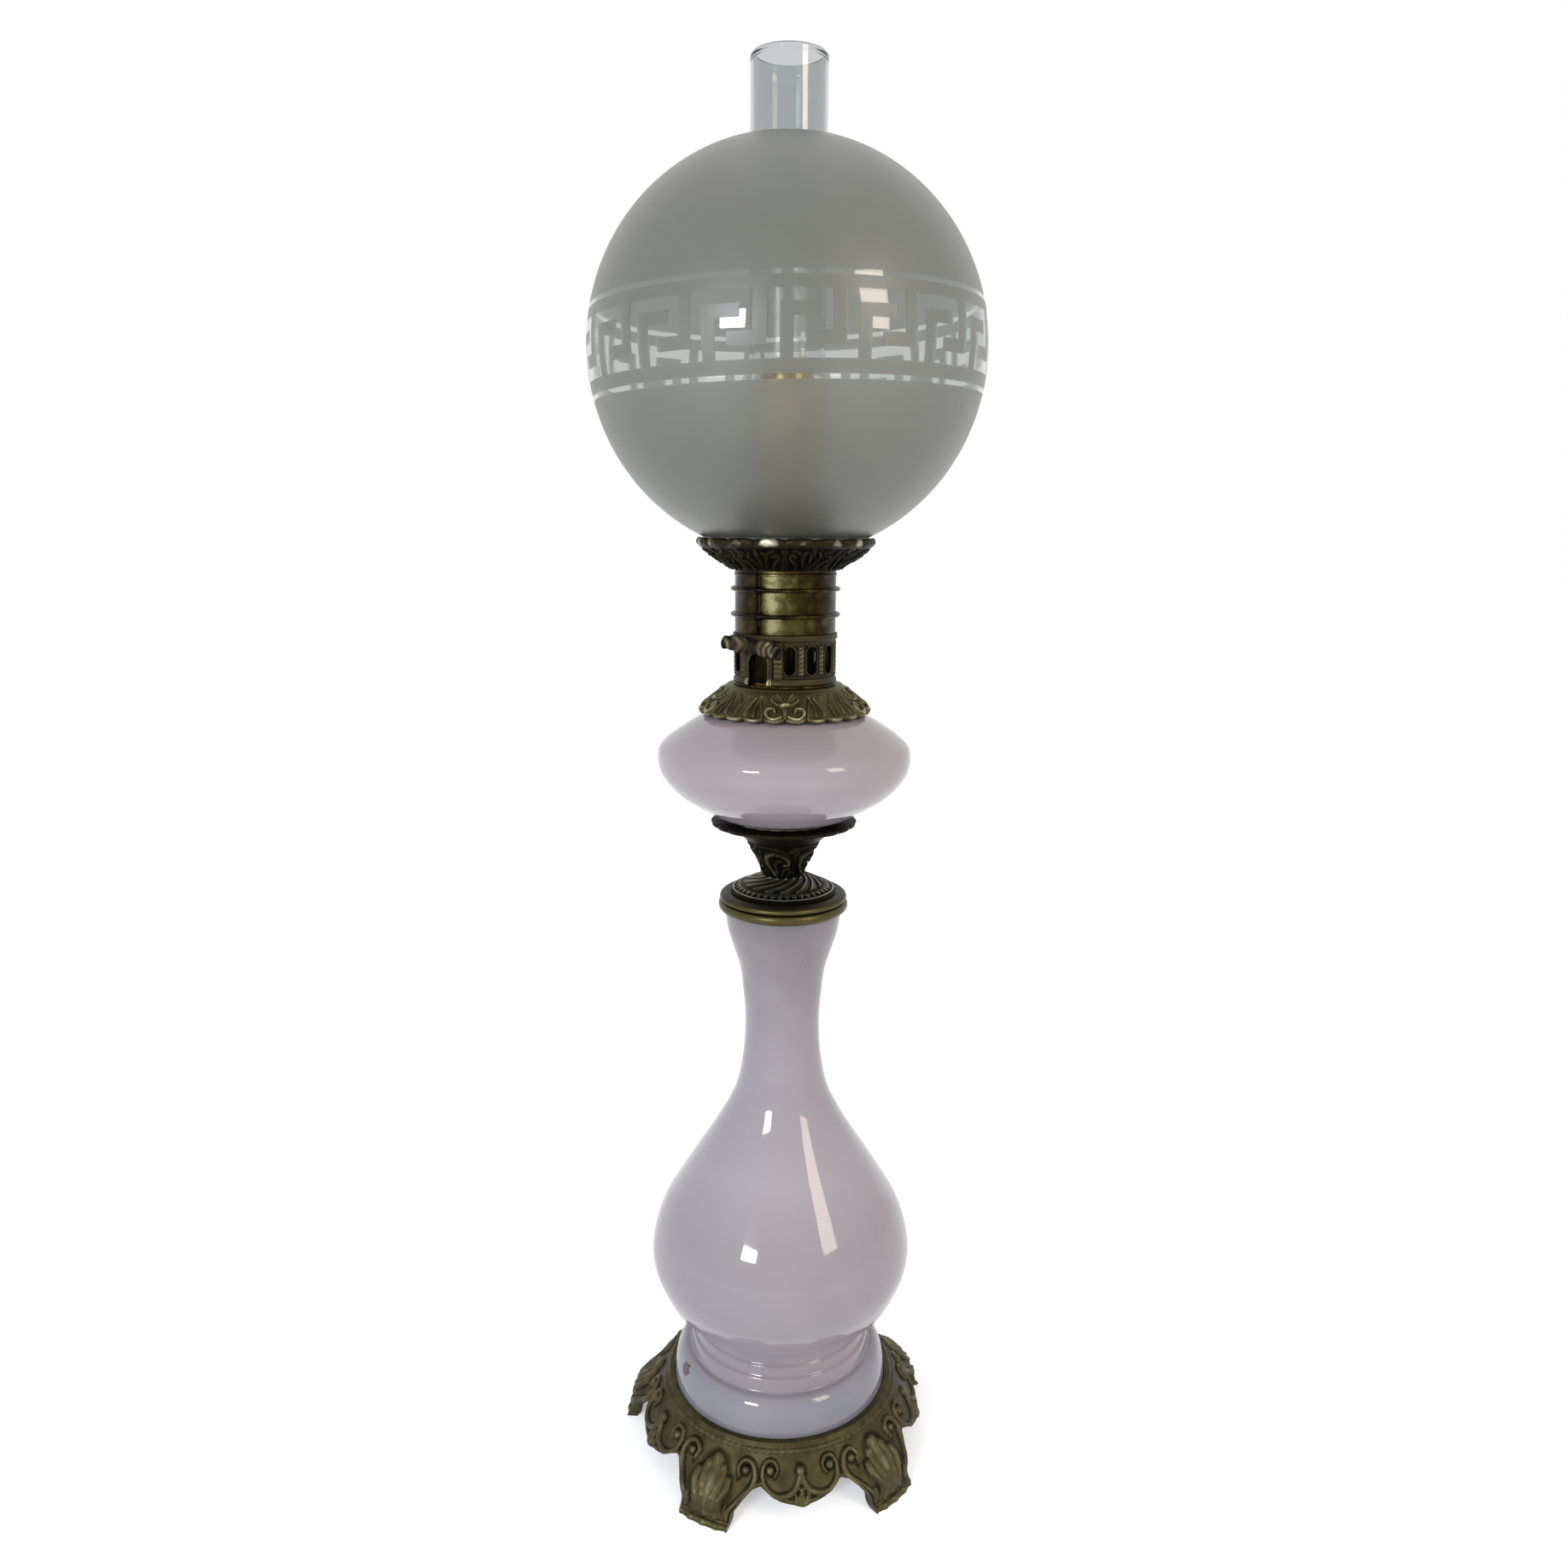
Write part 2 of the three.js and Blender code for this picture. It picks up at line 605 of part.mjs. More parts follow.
// Burner deck: a lip for the drum round a low spigot that centres it
const waistOuter = tubeOuter - wick.waistStep;
const deckBore = waistOuter + fixedGap;
addPiece('burner_deck', turned([
  [deckBore, deckBottom],
  [deck.radius, deckBottom],
  [deck.radius, deckLip],
  [deck.spigotRadius, deckLip],
  [deck.spigotRadius, deckTop],
  [deckBore, deckTop],
], innerFacets), 'brass');

// Wick drive places: the rack stands just clear of the wick tube, on the left of the pinion
const rackNear = tubeOuter + fixedGap;
const rackFar = rackNear + gear.width;
const pitchRadius = (gear.module * gear.teeth) / 2;
const rackTip = pitchRadius - gear.module + gear.backlash;
const rackRoot = pitchRadius + gear.module * gear.rootDepth;
const rackBack = rackRoot + rack.back - gear.module;
const carrierBottom = deckBottom + carrierRing.rise;
const carrierTop = carrierBottom + carrierRing.height;
const ductHeight = deckBottom + draught.bottom + draught.ductRise;

// Wick tube: narrow at the deck, flared to its full bore, with a slot for the carrier's lug
const slotHalf = carrierRing.lugWidth / 2 + carrierRing.slotGap;
const lugCentre = -(rackRoot + rackBack) / 2;
const lugSlot = block(
  [lugCentre - slotHalf, -rackNear - overrun, carrierBottom - wickRaise.down - carrierRing.slotGap],
  [lugCentre + slotHalf, -draught.radius + overrun, carrierTop + wickRaise.up + carrierRing.slotGap],
);
const ductHoleRadius = draught.ductRadius + slideGap;
const ductHole = barTowardsFront(ductHoleRadius, -tubeOuter - overrun, -draught.radius, ductHeight);
const waistTop = deckBottom + wickTube.waistTop;
const flareTop = deckBottom + wickTube.flareTop;
addPiece('wick_tube', shaped(turned([
  [waistOuter - wickTube.wall, deckBottom - wickTube.below],
  [waistOuter, deckBottom - wickTube.below],
  [waistOuter, waistTop],
  [tubeOuter, flareTop],
  [tubeOuter, tubeTop],
  [tubeInner, tubeTop],
  [tubeInner, flareTop],
  [waistOuter - wickTube.wall, waistTop],
], innerFacets), [], [lugSlot, ductHole]), 'gold');

// Draught tube: closed below, fed from the side by a short duct that crosses the wick's slit
const draughtBottom = deckBottom + draught.bottom;
const ductBore = draught.ductRadius - draught.ductWall;
addPiece('draft_tube', shaped(
  turned([
    [0, draughtBottom],
    [draught.radius, draughtBottom],
    [draught.radius, tubeTop],
    [draught.radius - draught.wall, tubeTop],
    [draught.radius - draught.wall, draughtBottom + draught.wall],
    [0, draughtBottom + draught.wall],
  ], innerFacets),
  [barTowardsFront(draught.ductRadius, -draught.ductReach, -(draught.radius - draught.wall), ductHeight)],
  [barTowardsFront(ductBore, -draught.ductReach - overrun, 0, ductHeight)],
), 'gold');

// Wick: a woven tube, drawn in below the burner, slit at the back and gripped by the carrier
const wickTop = tubeTop + wick.aboveTube;
const coneLow = deckBottom + wick.coneLow;
const coneTopHeight = coneLow + wick.coneRise;
const biteRadius = tubeInner - fixedGap - carrierRing.bite - fixedGap;
const wickBottom = deckBottom - wick.tailDrop;
const slit = block(
  [-wick.slitWidth / 2, 0, wickBottom - overrun],
  [wick.slitWidth / 2, wickOuter + overrun, ductHeight + wick.slitWidth],
);
addPiece('wick', shaped(turned([
  [wickInner - wick.waistStep, wickBottom],
  [wickOuter - wick.waistStep, wickBottom],
  [wickOuter - wick.waistStep, coneLow],
  [wickOuter, coneTopHeight],
  [wickOuter, carrierBottom - seatGap],
  [biteRadius, carrierBottom - seatGap],
  [biteRadius, carrierTop + seatGap],
  [wickOuter, carrierTop + seatGap],
  [wickOuter, wickTop],
  [wickInner, wickTop],
  [wickInner, coneTopHeight + wick.aboveTube],
  [wickInner - wick.waistStep, coneLow + wick.aboveTube],
], innerFacets), [], [slit]), 'cotton');

const ringOuter = tubeInner - fixedGap;
const lugInnerSide = lugCentre + carrierRing.lugWidth / 2;
const lugRoot = Math.sqrt((ringOuter - carrierRing.bite / 2) ** 2 - lugInnerSide ** 2);
const lug = block(
  [lugInnerSide - carrierRing.lugWidth, -rackNear + seatGap, carrierBottom],
  [lugInnerSide, -lugRoot, carrierTop],
);
addPiece('wick_carrier', shaped(turned([
  [ringOuter - carrierRing.bite, carrierBottom],
  [ringOuter, carrierBottom],
  [ringOuter, carrierTop],
  [ringOuter - carrierRing.bite, carrierTop],
], innerFacets), [lug], []), 'brass');

// Rack: teeth over the stretch that meets the pinion, then a plain bar up to the carrier
const toothPitch = Math.PI * gear.module;
const rackBottom = deckBottom + rack.lowEnd;
const rackShape = new THREE.Shape();
rackShape.moveTo(-rackBack, rackBottom);
rackShape.lineTo(-rackRoot, rackBottom);
const toothCount = Math.floor((rack.toothTop - rack.lowEnd) / toothPitch);
const flankShares = [[0.12, 0], [0.36, 1], [0.62, 1], [0.86, 0]];
// A tooth space stands level with the pinion's spindle at rest
const firstTooth = spindleHeight - Math.floor((spindleHeight - rackBottom) / toothPitch) * toothPitch;
for (let i = 0; i < toothCount; i += 1) {
  for (const [along, out] of flankShares) {
    rackShape.lineTo(-rackRoot + (rackRoot - rackTip) * out, firstTooth + (i + along) * toothPitch);
  }
}
rackShape.lineTo(-rackRoot, carrierTop);
rackShape.lineTo(-rackBack, carrierTop);
rackShape.closePath();
addPiece('wick_rack', plateTowardsFront(rackShape, rackNear, rackFar, 1), 'brass');

// Pinion
const pinionTip = pitchRadius + gear.module - gear.backlash;
const pinionRoot = pitchRadius - gear.module * gear.rootDepth;
const pinionShape = new THREE.Shape();
const toothAngle = (2 * Math.PI) / gear.teeth;
const pinionShares = [[-0.34, 0], [-0.13, 1], [0.13, 1], [0.34, 0]];
for (let i = 0; i < gear.teeth; i += 1) {
  for (const [along, out] of pinionShares) {
    const turn = (i + along) * toothAngle;
    const radius = pinionRoot + (pinionTip - pinionRoot) * out;
    const point = [radius * Math.cos(turn), spindleHeight + radius * Math.sin(turn)];
    if (i === 0 && along < 0 && out === 0) pinionShape.moveTo(...point);
    else pinionShape.lineTo(...point);
  }
}
pinionShape.closePath();
const spindleBore = boreRadius(spindle.radius, shaftGap);
addPiece('rack_pinion', shaped(
  plateTowardsFront(pinionShape, rackNear, rackFar, 1),
  [],
  [barTowardsFront(spindleBore, rackNear - overrun, rackFar + overrun, spindleHeight)],
), 'brass');

// Guide: an angle bracket that backs the rack
const guideNear = rackBack + slideGap;
const guideShape = new THREE.Shape();
guideShape.moveTo(-guideNear, deckTop + seatGap);
guideShape.lineTo(-guideNear, deckTop + guide.height);
guideShape.lineTo(-guideNear - guide.thickness, deckTop + guide.height);
guideShape.lineTo(-guideNear - guide.thickness, deckTop + seatGap + guide.footThickness);
guideShape.lineTo(-guideNear - guide.footLength, deckTop + seatGap + guide.footThickness);
guideShape.lineTo(-guideNear - guide.footLength, deckTop + seatGap);
guideShape.closePath();
const guideBar = plateTowardsFront(guideShape, rackNear - guide.overlap, rackFar + guide.overlap, 1);
addPiece('rack_guide', guideBar, 'brass');

// Bearing post: a tapered plate with a round crown and the spindle's bore
const postBottom = deckTop + seatGap;
const postShape = new THREE.Shape();
postShape.moveTo(-post.baseHalf, postBottom);
postShape.lineTo(post.baseHalf, postBottom);
postShape.lineTo(post.neckHalf, spindleHeight);
postShape.absarc(0, spindleHeight, post.neckHalf, 0, Math.PI, false);
postShape.closePath();
addPiece('spindle_bearing', shaped(
  plateTowardsFront(postShape, post.face, post.face + post.depth, crownFacets),
  [],
  [barTowardsFront(spindleBore, post.face - overrun, post.face + post.depth + overrun, spindleHeight)],
), 'brass');

// Key: a boss on the spindle's end and a cast thumb-piece like two short wings
const keyNear = drum.radius + drum.frameReach + key.standOff;
const wingBack = keyNear;
const wingFront = wingBack + key.thickness;
const bossBack = wingBack - key.bossLength / 2;
const spindleEnd = wingBack + key.thickness / 2;
const spindleBar = barTowardsFront(spindle.radius, rackNear - spindle.innerReach, spindleEnd, spindleHeight);
addPiece('key_spindle', spindleBar, 'steel');

const wingPoints = [
  ...wingShares.map(([along, up]) => [along * key.rightSpan, up * key.halfHeight]),
  ...[...wingShares].reverse().map(([along, up]) => [-along * key.leftSpan, up * key.halfHeight]),
].map(([x, z]) => new THREE.Vector2(x, z));
const wingCurve = new THREE.SplineCurve([...wingPoints, wingPoints[0]]);
const wingShape = new THREE.Shape(wingCurve.getPoints(wingPoints.length + wingPoints.length / 2));
const wings = plateTowardsFront(wingShape, wingBack, wingFront, 1);
wings.rotateY(radians(key.roll)).translate(0, 0, spindleHeight);
addPiece('wick_key', shaped(
  wings,
  [barTowardsFront(key.bossRadius, bossBack, wingFront - key.thickness / 4, spindleHeight)],
  [barTowardsFront(spindleBore, bossBack - overrun, spindleEnd + seatGap, spindleHeight)],
), 'bronze');

// Drum: a cast ring between a plinth and a ledge, pierced by tall windows and an arched doorway
const drumInner = drum.radius - drum.wall;
const windowHalf = drum.windowWidth / 2;
function windowCut(angle) {
  const low = drumBottom + drum.windowLow + windowHalf;
  const high = drumBottom + drum.windowLow + drum.windowHeight - windowHalf;
  const shape = new THREE.Shape();
  shape.moveTo(windowHalf, low);
  shape.lineTo(windowHalf, high);
  shape.absarc(0, high, windowHalf, 0, Math.PI, false);
  shape.lineTo(-windowHalf, low);
  shape.absarc(0, low, windowHalf, Math.PI, 2 * Math.PI, false);
  shape.closePath();
  return plateTowardsFront(shape, drumInner - overrun, drum.radius + overrun, 2).rotateZ(angle);
}
function archPlate(half, low, top, near, far) {
  const shape = new THREE.Shape();
  shape.moveTo(half, low);
  shape.lineTo(half, top - half);
  shape.absarc(0, top - half, half, 0, Math.PI, false);
  shape.lineTo(-half, low);
  shape.closePath();
  return plateTowardsFront(shape, near, far, archFacets);
}
const windowPitch = (2 * Math.PI - 2 * radians(drum.firstWindow)) / (drum.windows - 1);
const windowCuts = Array.from({ length: drum.windows }, (_, i) => (
  windowCut(radians(drum.firstWindow) + i * windowPitch)
));
const doorTop = drumBottom + drum.doorHeight;
const frameHalf = drum.doorHalf + drum.frameWidth;
const frameFront = drum.radius + drum.frameReach;
const frame = archPlate(frameHalf, drumBottom, doorTop + drum.frameWidth, drumInner, frameFront);
const doorNear = drumInner - 2 * overrun;
const door = archPlate(drum.doorHalf, drumBottom - overrun, doorTop, doorNear, frameFront + overrun);
const notchTop = spindleHeight + spindle.radius + 2 * fixedGap;
const notch = block(
  [-drum.notchHalf, -frameFront - overrun, doorTop - overrun],
  [drum.notchHalf, -doorNear, notchTop],
);
const ledgeBottom = drumTop - drum.ledge;
addPiece('draft_drum', shaped(turned([
  [drumInner, drumBottom],
  [drum.radius + drum.plinthReach, drumBottom],
  [drum.radius + drum.plinthReach, drumBottom + drum.plinth / 2],
  [drum.radius, drumBottom + drum.plinth],
  [drum.radius, ledgeBottom],
  [drum.radius + drum.ledgeReach, ledgeBottom + drum.ledgeReach],
  [drum.radius + drum.ledgeReach, drumTop],
  [drumInner, drumTop],
], mainFacets), [frame], [...windowCuts, door, notch]), 'bronze');

// Split sleeve and the two wire rings that clamp it
const sleeveSlit = block(
  [-sleeve.slit / 2, -sleeveOuter - overrun, sleeveBottom - overrun],
  [sleeve.slit / 2, 0, sleeveTop + overrun],
);
addPiece('sleeve', shaped(turned([
  [sleeveInner, sleeveBottom],
  [sleeveOuter, sleeveBottom],
  [sleeveOuter, sleeveTop],
  [sleeveInner, sleeveTop],
]), [], [sleeveSlit]), 'brass');
const wireCentre = sleeveOuter + sleeve.wireRadius + fixedGap / 2;
for (const [level, rise] of Object.entries(sleeve.ringRises)) {
  const ring = new THREE.TorusGeometry(wireCentre, sleeve.wireRadius, wireFacets, mainFacets);
  addPiece(`sleeve_ring_${level}`, closed(ring.translate(0, 0, sleeveBottom + rise)), 'brass');
}

// Gallery: a scalloped leaf bowl with an inner ledge for the globe
const ledgeOuter = globe.fitterRadius + 2 * slideGap;
const ledgeTop = galleryBottom + gallery.ledgeRise;
function galleryOutline(angle) {
  const wave = Math.cos(gallery.lobes * angle);
  const plain = scaled(galleryShares, gallery.rimRadius, galleryBottom, gallery.height);
  const outer = plain.map(([radius, height], i) => {
    const fade = galleryShares[i][1];
    return [radius + gallery.scallop * wave * fade, height];
  });
  return [
    [sleeveInner, galleryBottom],
    ...outer,
    [ledgeOuter, ledgeTop],
    [gallery.ledgeInner, ledgeTop],
    [gallery.ledgeInner, ledgeTop - gallery.ledgeThickness],
    ...scaled(galleryInnerShares, gallery.rimRadius, galleryBottom, gallery.height),
    [sleeveInner, galleryBottom + gallery.ledgeThickness],
  ];
}
addPiece('globe_gallery', lofted(galleryOutline, evenAngles(gallery.lobes * 2)), 'bronze');

// Chimney holder: a tube that slides in the sleeve, a ledge for the chimney and spring fingers
const ledgeInner = holderInner - holder.ledgeReach;
const fingerTop = holderLedge + holder.fingerHeight;
const fingerSlots = evenAngles(holder.fingers).map((angle) => block(
  [-holder.slotWidth / 2, -holderOuter - overrun, holderLedge + holder.ledgeThickness],
  [holder.slotWidth / 2, -ledgeInner, fingerTop + overrun],
).rotateZ(angle));
addPiece('chimney_holder', shaped(turned([
  [holderInner, holderBottom],
  [holderOuter, holderBottom],
  [holderOuter, fingerTop],
  [holderInner, fingerTop],
  [holderInner, holderLedge],
  [ledgeInner, holderLedge],
  [ledgeInner, holderLedge - holder.ledgeThickness],
  [holderInner, holderLedge - holder.ledgeThickness],
]), [], fingerSlots), 'brass');

// Chimney: a wide base for the holder, an S-curved shoulder, a straight stack and a thick rounded lip
const shoulderBottom = chimneyBottom + chimney.baseHeight;
const chimneyTop = chimneyBottom + chimney.height;
const shoulderPoints = Array.from({ length: mouldingFacets }, (_, i) => {
  const share = i / (mouldingFacets - 1);
  return [
    chimneyBaseRadius + (chimney.radius - chimneyBaseRadius) * (0.5 - 0.5 * Math.cos(Math.PI * share)),
    shoulderBottom + chimney.shoulder * share,
  ];
});
const boreInner = chimney.radius - chimney.wall;
addPiece('chimney', turned([
  [chimneyBaseRadius - chimney.wall, chimneyBottom],
  [chimneyBaseRadius, chimneyBottom],
  ...shoulderPoints,
  [chimney.radius, chimneyTop],
  [boreInner - chimney.lip, chimneyTop],
  [boreInner - chimney.lip, chimneyTop - chimney.lipHeight / 2],
  [boreInner, chimneyTop - chimney.lipHeight],
  ...shoulderPoints.map(([radius, height]) => [radius - chimney.wall, height]).reverse(),
], innerFacets), 'clearGlass');

// Globe: a blown ball with a straight fitter neck below and a ground mouth above
function globeArc(radius, lowRadius, highRadius, halfSteps) {
  const low = -Math.acos(lowRadius / radius);
  const high = Math.acos(highRadius / radius);
  return Array.from({ length: 2 * halfSteps + 1 }, (_, i) => {
    const turn = ((i < halfSteps ? -low : high) * (i - halfSteps)) / halfSteps;
    return [radius * Math.cos(turn), globeCentre + radius * Math.sin(turn)];
  });
}
const globeCentre = globeBottom + globe.fitterHeight + Math.sqrt(globe.radius ** 2 - globe.fitterRadius ** 2);
const globeInnerRadius = globe.radius - globe.wall;
const fitterInner = globe.fitterRadius - globe.wall;
const mouthInner = globe.mouthRadius - globe.wall;
const globeOuterArc = globeArc(globe.radius, globe.fitterRadius, globe.mouthRadius, globe.halfRings);
const globeInnerArc = globeArc(globeInnerRadius, fitterInner, mouthInner, globe.innerHalfRings);
addPiece('globe', turned([
  [fitterInner, globeBottom],
  [globe.fitterRadius, globeBottom],
  ...globeOuterArc,
  ...globeInnerArc.reverse(),
], globeFacets), 'frosted');

export default lamp;
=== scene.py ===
import math

import bmesh
import bpy
import numpy as np
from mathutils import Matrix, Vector


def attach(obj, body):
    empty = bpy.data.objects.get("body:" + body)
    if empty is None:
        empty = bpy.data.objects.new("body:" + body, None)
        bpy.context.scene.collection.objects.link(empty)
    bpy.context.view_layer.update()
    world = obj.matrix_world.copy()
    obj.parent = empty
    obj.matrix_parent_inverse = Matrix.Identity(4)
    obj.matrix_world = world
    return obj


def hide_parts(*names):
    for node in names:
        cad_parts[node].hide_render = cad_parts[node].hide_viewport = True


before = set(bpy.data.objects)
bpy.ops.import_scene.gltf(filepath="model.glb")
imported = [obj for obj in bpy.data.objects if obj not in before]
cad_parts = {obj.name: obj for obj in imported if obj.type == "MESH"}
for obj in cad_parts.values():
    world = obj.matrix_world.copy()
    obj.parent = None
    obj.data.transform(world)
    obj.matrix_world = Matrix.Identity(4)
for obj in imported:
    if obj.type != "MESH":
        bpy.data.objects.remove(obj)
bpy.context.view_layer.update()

# Camera, at the height of the globe and to the right of the wick key, looking down a little.
MM = 0.001
CAMERA_AZIMUTH = math.radians(31)
CAMERA_DISTANCE = 0.641
CAMERA_HEIGHT = 0.531
CAMERA_PITCH = math.radians(12.05)
CAMERA_ROLL = math.radians(0.45)
SENSOR_WIDTH, FOCAL_LENGTH, NEAREST = 36, 27.78, 0.01
camera_data = bpy.data.cameras.new("camera")
camera_data.sensor_width = SENSOR_WIDTH
camera_data.lens = FOCAL_LENGTH
camera_data.clip_start = NEAREST
camera = bpy.data.objects.new("camera", camera_data)
bpy.context.scene.collection.objects.link(camera)
camera.location = (
    CAMERA_DISTANCE * math.sin(CAMERA_AZIMUTH),
    -CAMERA_DISTANCE * math.cos(CAMERA_AZIMUTH),
    CAMERA_HEIGHT,
)
camera.rotation_mode = "QUATERNION"
line_of_sight = Vector((
    -math.sin(CAMERA_AZIMUTH) * math.cos(CAMERA_PITCH),
    math.cos(CAMERA_AZIMUTH) * math.cos(CAMERA_PITCH),
    -math.sin(CAMERA_PITCH),
))
camera.rotation_quaternion = line_of_sight.to_track_quat("-Z", "Y")
camera.rotation_mode = "XYZ"
camera.rotation_euler.rotate_axis("Z", CAMERA_ROLL)
bpy.context.scene.camera = camera
bpy.context.scene.view_settings.view_transform = "Standard"


def linear(hex_colour):
    """An sRGB hex colour as linear red, green, blue and alpha."""
    parts = [int(hex_colour[i:i + 2], 16) / 255 for i in (1, 3, 5)]
    return tuple(c / 12.92 if c <= 0.04045 else ((c + 0.055) / 1.055) ** 2.4 for c in parts) + (1.0,)


def add_node(tree, kind, inputs=None, stops=None, **settings):
    """One shader node with its settings. An input is a value, a hex colour, or what it is linked from: a
    socket, or a node for its first output."""
    made = tree.nodes.new("ShaderNode" + kind)
    for name, value in settings.items():
        setattr(made, name, value)
    for name, value in (inputs or {}).items():
        if isinstance(value, bpy.types.Node):
            value = value.outputs[0]
        if isinstance(value, bpy.types.NodeSocket):
            tree.links.new(value, made.inputs[name])
        else:
            made.inputs[name].default_value = linear(value) if isinstance(value, str) else value
    if stops:
        while len(made.color_ramp.elements) < len(stops):
            made.color_ramp.elements.new(0.5)
        for element, (position, colour) in zip(made.color_ramp.elements, stops):
            element.position = position
            element.color = linear(colour)
    return made


def new_material(name):
    """An empty material and its tree, ready for nodes."""
    made = bpy.data.materials.new(name)
    made.use_nodes = True
    made.node_tree.nodes.clear()
    return made, made.node_tree


# Floor and sky: a matt pale table and an even pale studio. The camera, mirrors and glass see both white,
# and the floor keeps the object's shadow.
FLOOR_HALF, FLOOR_GLOW, STUDIO_LIGHT = 6.0, 0.38, 0.74


def seen_directly(tree):
    """1 for what the camera, mirrors and glass see, and 0 for the light that falls on the object."""
    path = add_node(tree, "LightPath")
    rays = [path.outputs["Is " + kind + " Ray"] for kind in ("Camera", "Glossy", "Transmission")]
    either = add_node(tree, "Math", {0: rays[0], 1: rays[1]}, operation="MAXIMUM")
    return add_node(tree, "Math", {0: either, 1: rays[2]}, operation="MAXIMUM")


floor_mesh = bpy.data.meshes.new("studio_floor")
floor_mesh.from_pydata(
    [(x * FLOOR_HALF, y * FLOOR_HALF, 0) for x, y in ((-1, -1), (1, -1), (1, 1), (-1, 1))],
    [], [(0, 1, 2, 3)],
)
floor = bpy.data.objects.new("studio_floor", floor_mesh)
bpy.context.scene.collection.objects.link(floor)
floor_paper, tree = new_material("matt white backdrop paper")
paper = add_node(tree, "BsdfDiffuse", {"Color": "#fbfbfb", "Roughness": 0.5})
glow_level = add_node(tree, "Math", {0: seen_directly(tree), 1: FLOOR_GLOW}, operation="MULTIPLY")
glow = add_node(tree, "Emission", {"Color": "#ffffff", "Strength": glow_level})
lit_paper = add_node(tree, "AddShader", {0: paper, 1: glow})
add_node(tree, "OutputMaterial", {"Surface": lit_paper})
floor_mesh.materials.append(floor_paper)

world = bpy.data.worlds.new("pale studio")
bpy.context.scene.world = world
world.use_nodes = True
tree = world.node_tree
tree.nodes.clear()
dim_sky = add_node(tree, "Background", {"Color": "#eef1f6", "Strength": STUDIO_LIGHT})
white_sky = add_node(tree, "Background", {"Color": "#ffffff", "Strength": 1.0})
sky = add_node(tree, "MixShader", {0: seen_directly(tree), 1: dim_sky, 2: white_sky})
add_node(tree, "OutputWorld", {"Surface": sky})


# Window light: a small bright window on the left of the camera and a tall dim one on its right.
def window_light(name, azimuth, elevation, distance, width, height, power, colour):
    """A rectangular lamp that faces the middle of the lamp from an azimuth and an elevation in degrees."""
    light = bpy.data.lights.new(name, "AREA")
    light.shape = "RECTANGLE"
    light.size = width
    light.size_y = height
    light.energy = power
    light.color = linear(colour)[:3]
    holder = bpy.data.objects.new(name, light)
    bpy.context.scene.collection.objects.link(holder)
    turn, lift = math.radians(azimuth), math.radians(elevation)
    middle = Vector((0, 0, 0.35))
    offset = Vector((math.sin(turn) * math.cos(lift), -math.cos(turn) * math.cos(lift), math.sin(lift)))
    holder.location = middle + offset * distance
    holder.rotation_euler = (-offset).to_track_quat("-Z", "Y").to_euler()


window_light("left_window", 2, 17, 2.2, 0.5, 0.34, 22, "#edf3ff")
window_light("right_window", 79, 27, 2.0, 0.5, 0.9, 11, "#ffeedd")


# Cast foot: bronze casting with a dished plate for the vase and an apron that runs down into five
# acanthus legs. Cast in one piece, chased, and darkened by age; the high spots are rubbed bright.
FOOT_HEIGHT, FOOT_REACH = 37.5, 91
PLATE_TOP, PLATE_BOTTOM, ROD_HOLE, LIP_INNER = 35.2, 31.5, 4.3, 62.8
FOOT_WALL = 4.5
TOE_ANGLE, FOOT_TURN = 10, math.radians(4.2)
APRON_RADIUS, ANKLE_DRAW, LIP_NOTCHES = 83, 0.17, 110
SECTOR = 2 * math.pi / 5
RIDGE_SHARES = [
    (0, 1), (0.04, 0.996), (0.1, 0.972), (0.2, 0.968), (0.3, 0.972), (0.39, 0.962), (0.5, 0.915),
    (0.62, 0.845), (0.8, 0.775), (0.93, 0.735), (1, 0.723),
]
APRON_SHARES = [
    (0, 0.955), (0.2, 0.938), (0.325, 0.92), (0.5, 0.878), (0.625, 0.844), (0.75, 0.806), (0.9, 0.758),
    (1, 0.723),
]
EDGE_SHARES = [
    (0, 0), (9.4, 0), (10.6, 0.12), (11.6, 0.25), (13.5, 0.39), (16.5, 0.505), (19.5, 0.55), (22, 0.505),
    (24.5, 0.445), (27, 0.4), (30, 0.37), (33, 0.35), (36, 0.325),
]


def through(points, count, closed=False):
    """A smooth line of count points through the given points."""
    points = np.asarray(points, float)
    padded = np.vstack([2 * points[0] - points[1], points, 2 * points[-1] - points[-2]])
    place = np.linspace(0, len(points) - 1, count)
    i = np.minimum(place.astype(int), len(points) - 2)
    t = (place - i)[:, None]
    a, b, c, d = padded[i], padded[i + 1], padded[i + 2], padded[i + 3]
    return 0.5 * (2 * b + (c - a) * t + (2 * a - 5 * b + 4 * c - d) * t**2 + (3 * b - a - 3 * c + d) * t**3)


def table_at(table, place):
    """Value of a table of (place, value) pairs at each place."""
    xs, ys = zip(*table)
    return np.interp(place, xs, ys)


def smoothstep(value, low, high):
    """0 below low and 1 above high, with a soft rise between."""
    t = np.clip((value - low) / (high - low), 0, 1)
    return t * t * (3 - 2 * t)


def plateau(value, low, full, falls, gone):
    """Rises from low to full, and goes from falls to gone."""
    return smoothstep(value, low, full) * smoothstep(gone - value, 0, gone - falls)


def bell(gap, width):
    """1 on a line, and fading over a width on both sides of it."""
    return np.exp(-((gap / width) ** 2))


def rounded(gap, half):
    """A round ridge on a line, 1 on the line and 0 from half its width on."""
    return np.sqrt(np.clip(1 - (gap / half) ** 2, 0, 1))


def full_turn(count):
    """Angles of a whole turn in even steps."""
    return np.arange(count) * 2 * math.pi / count


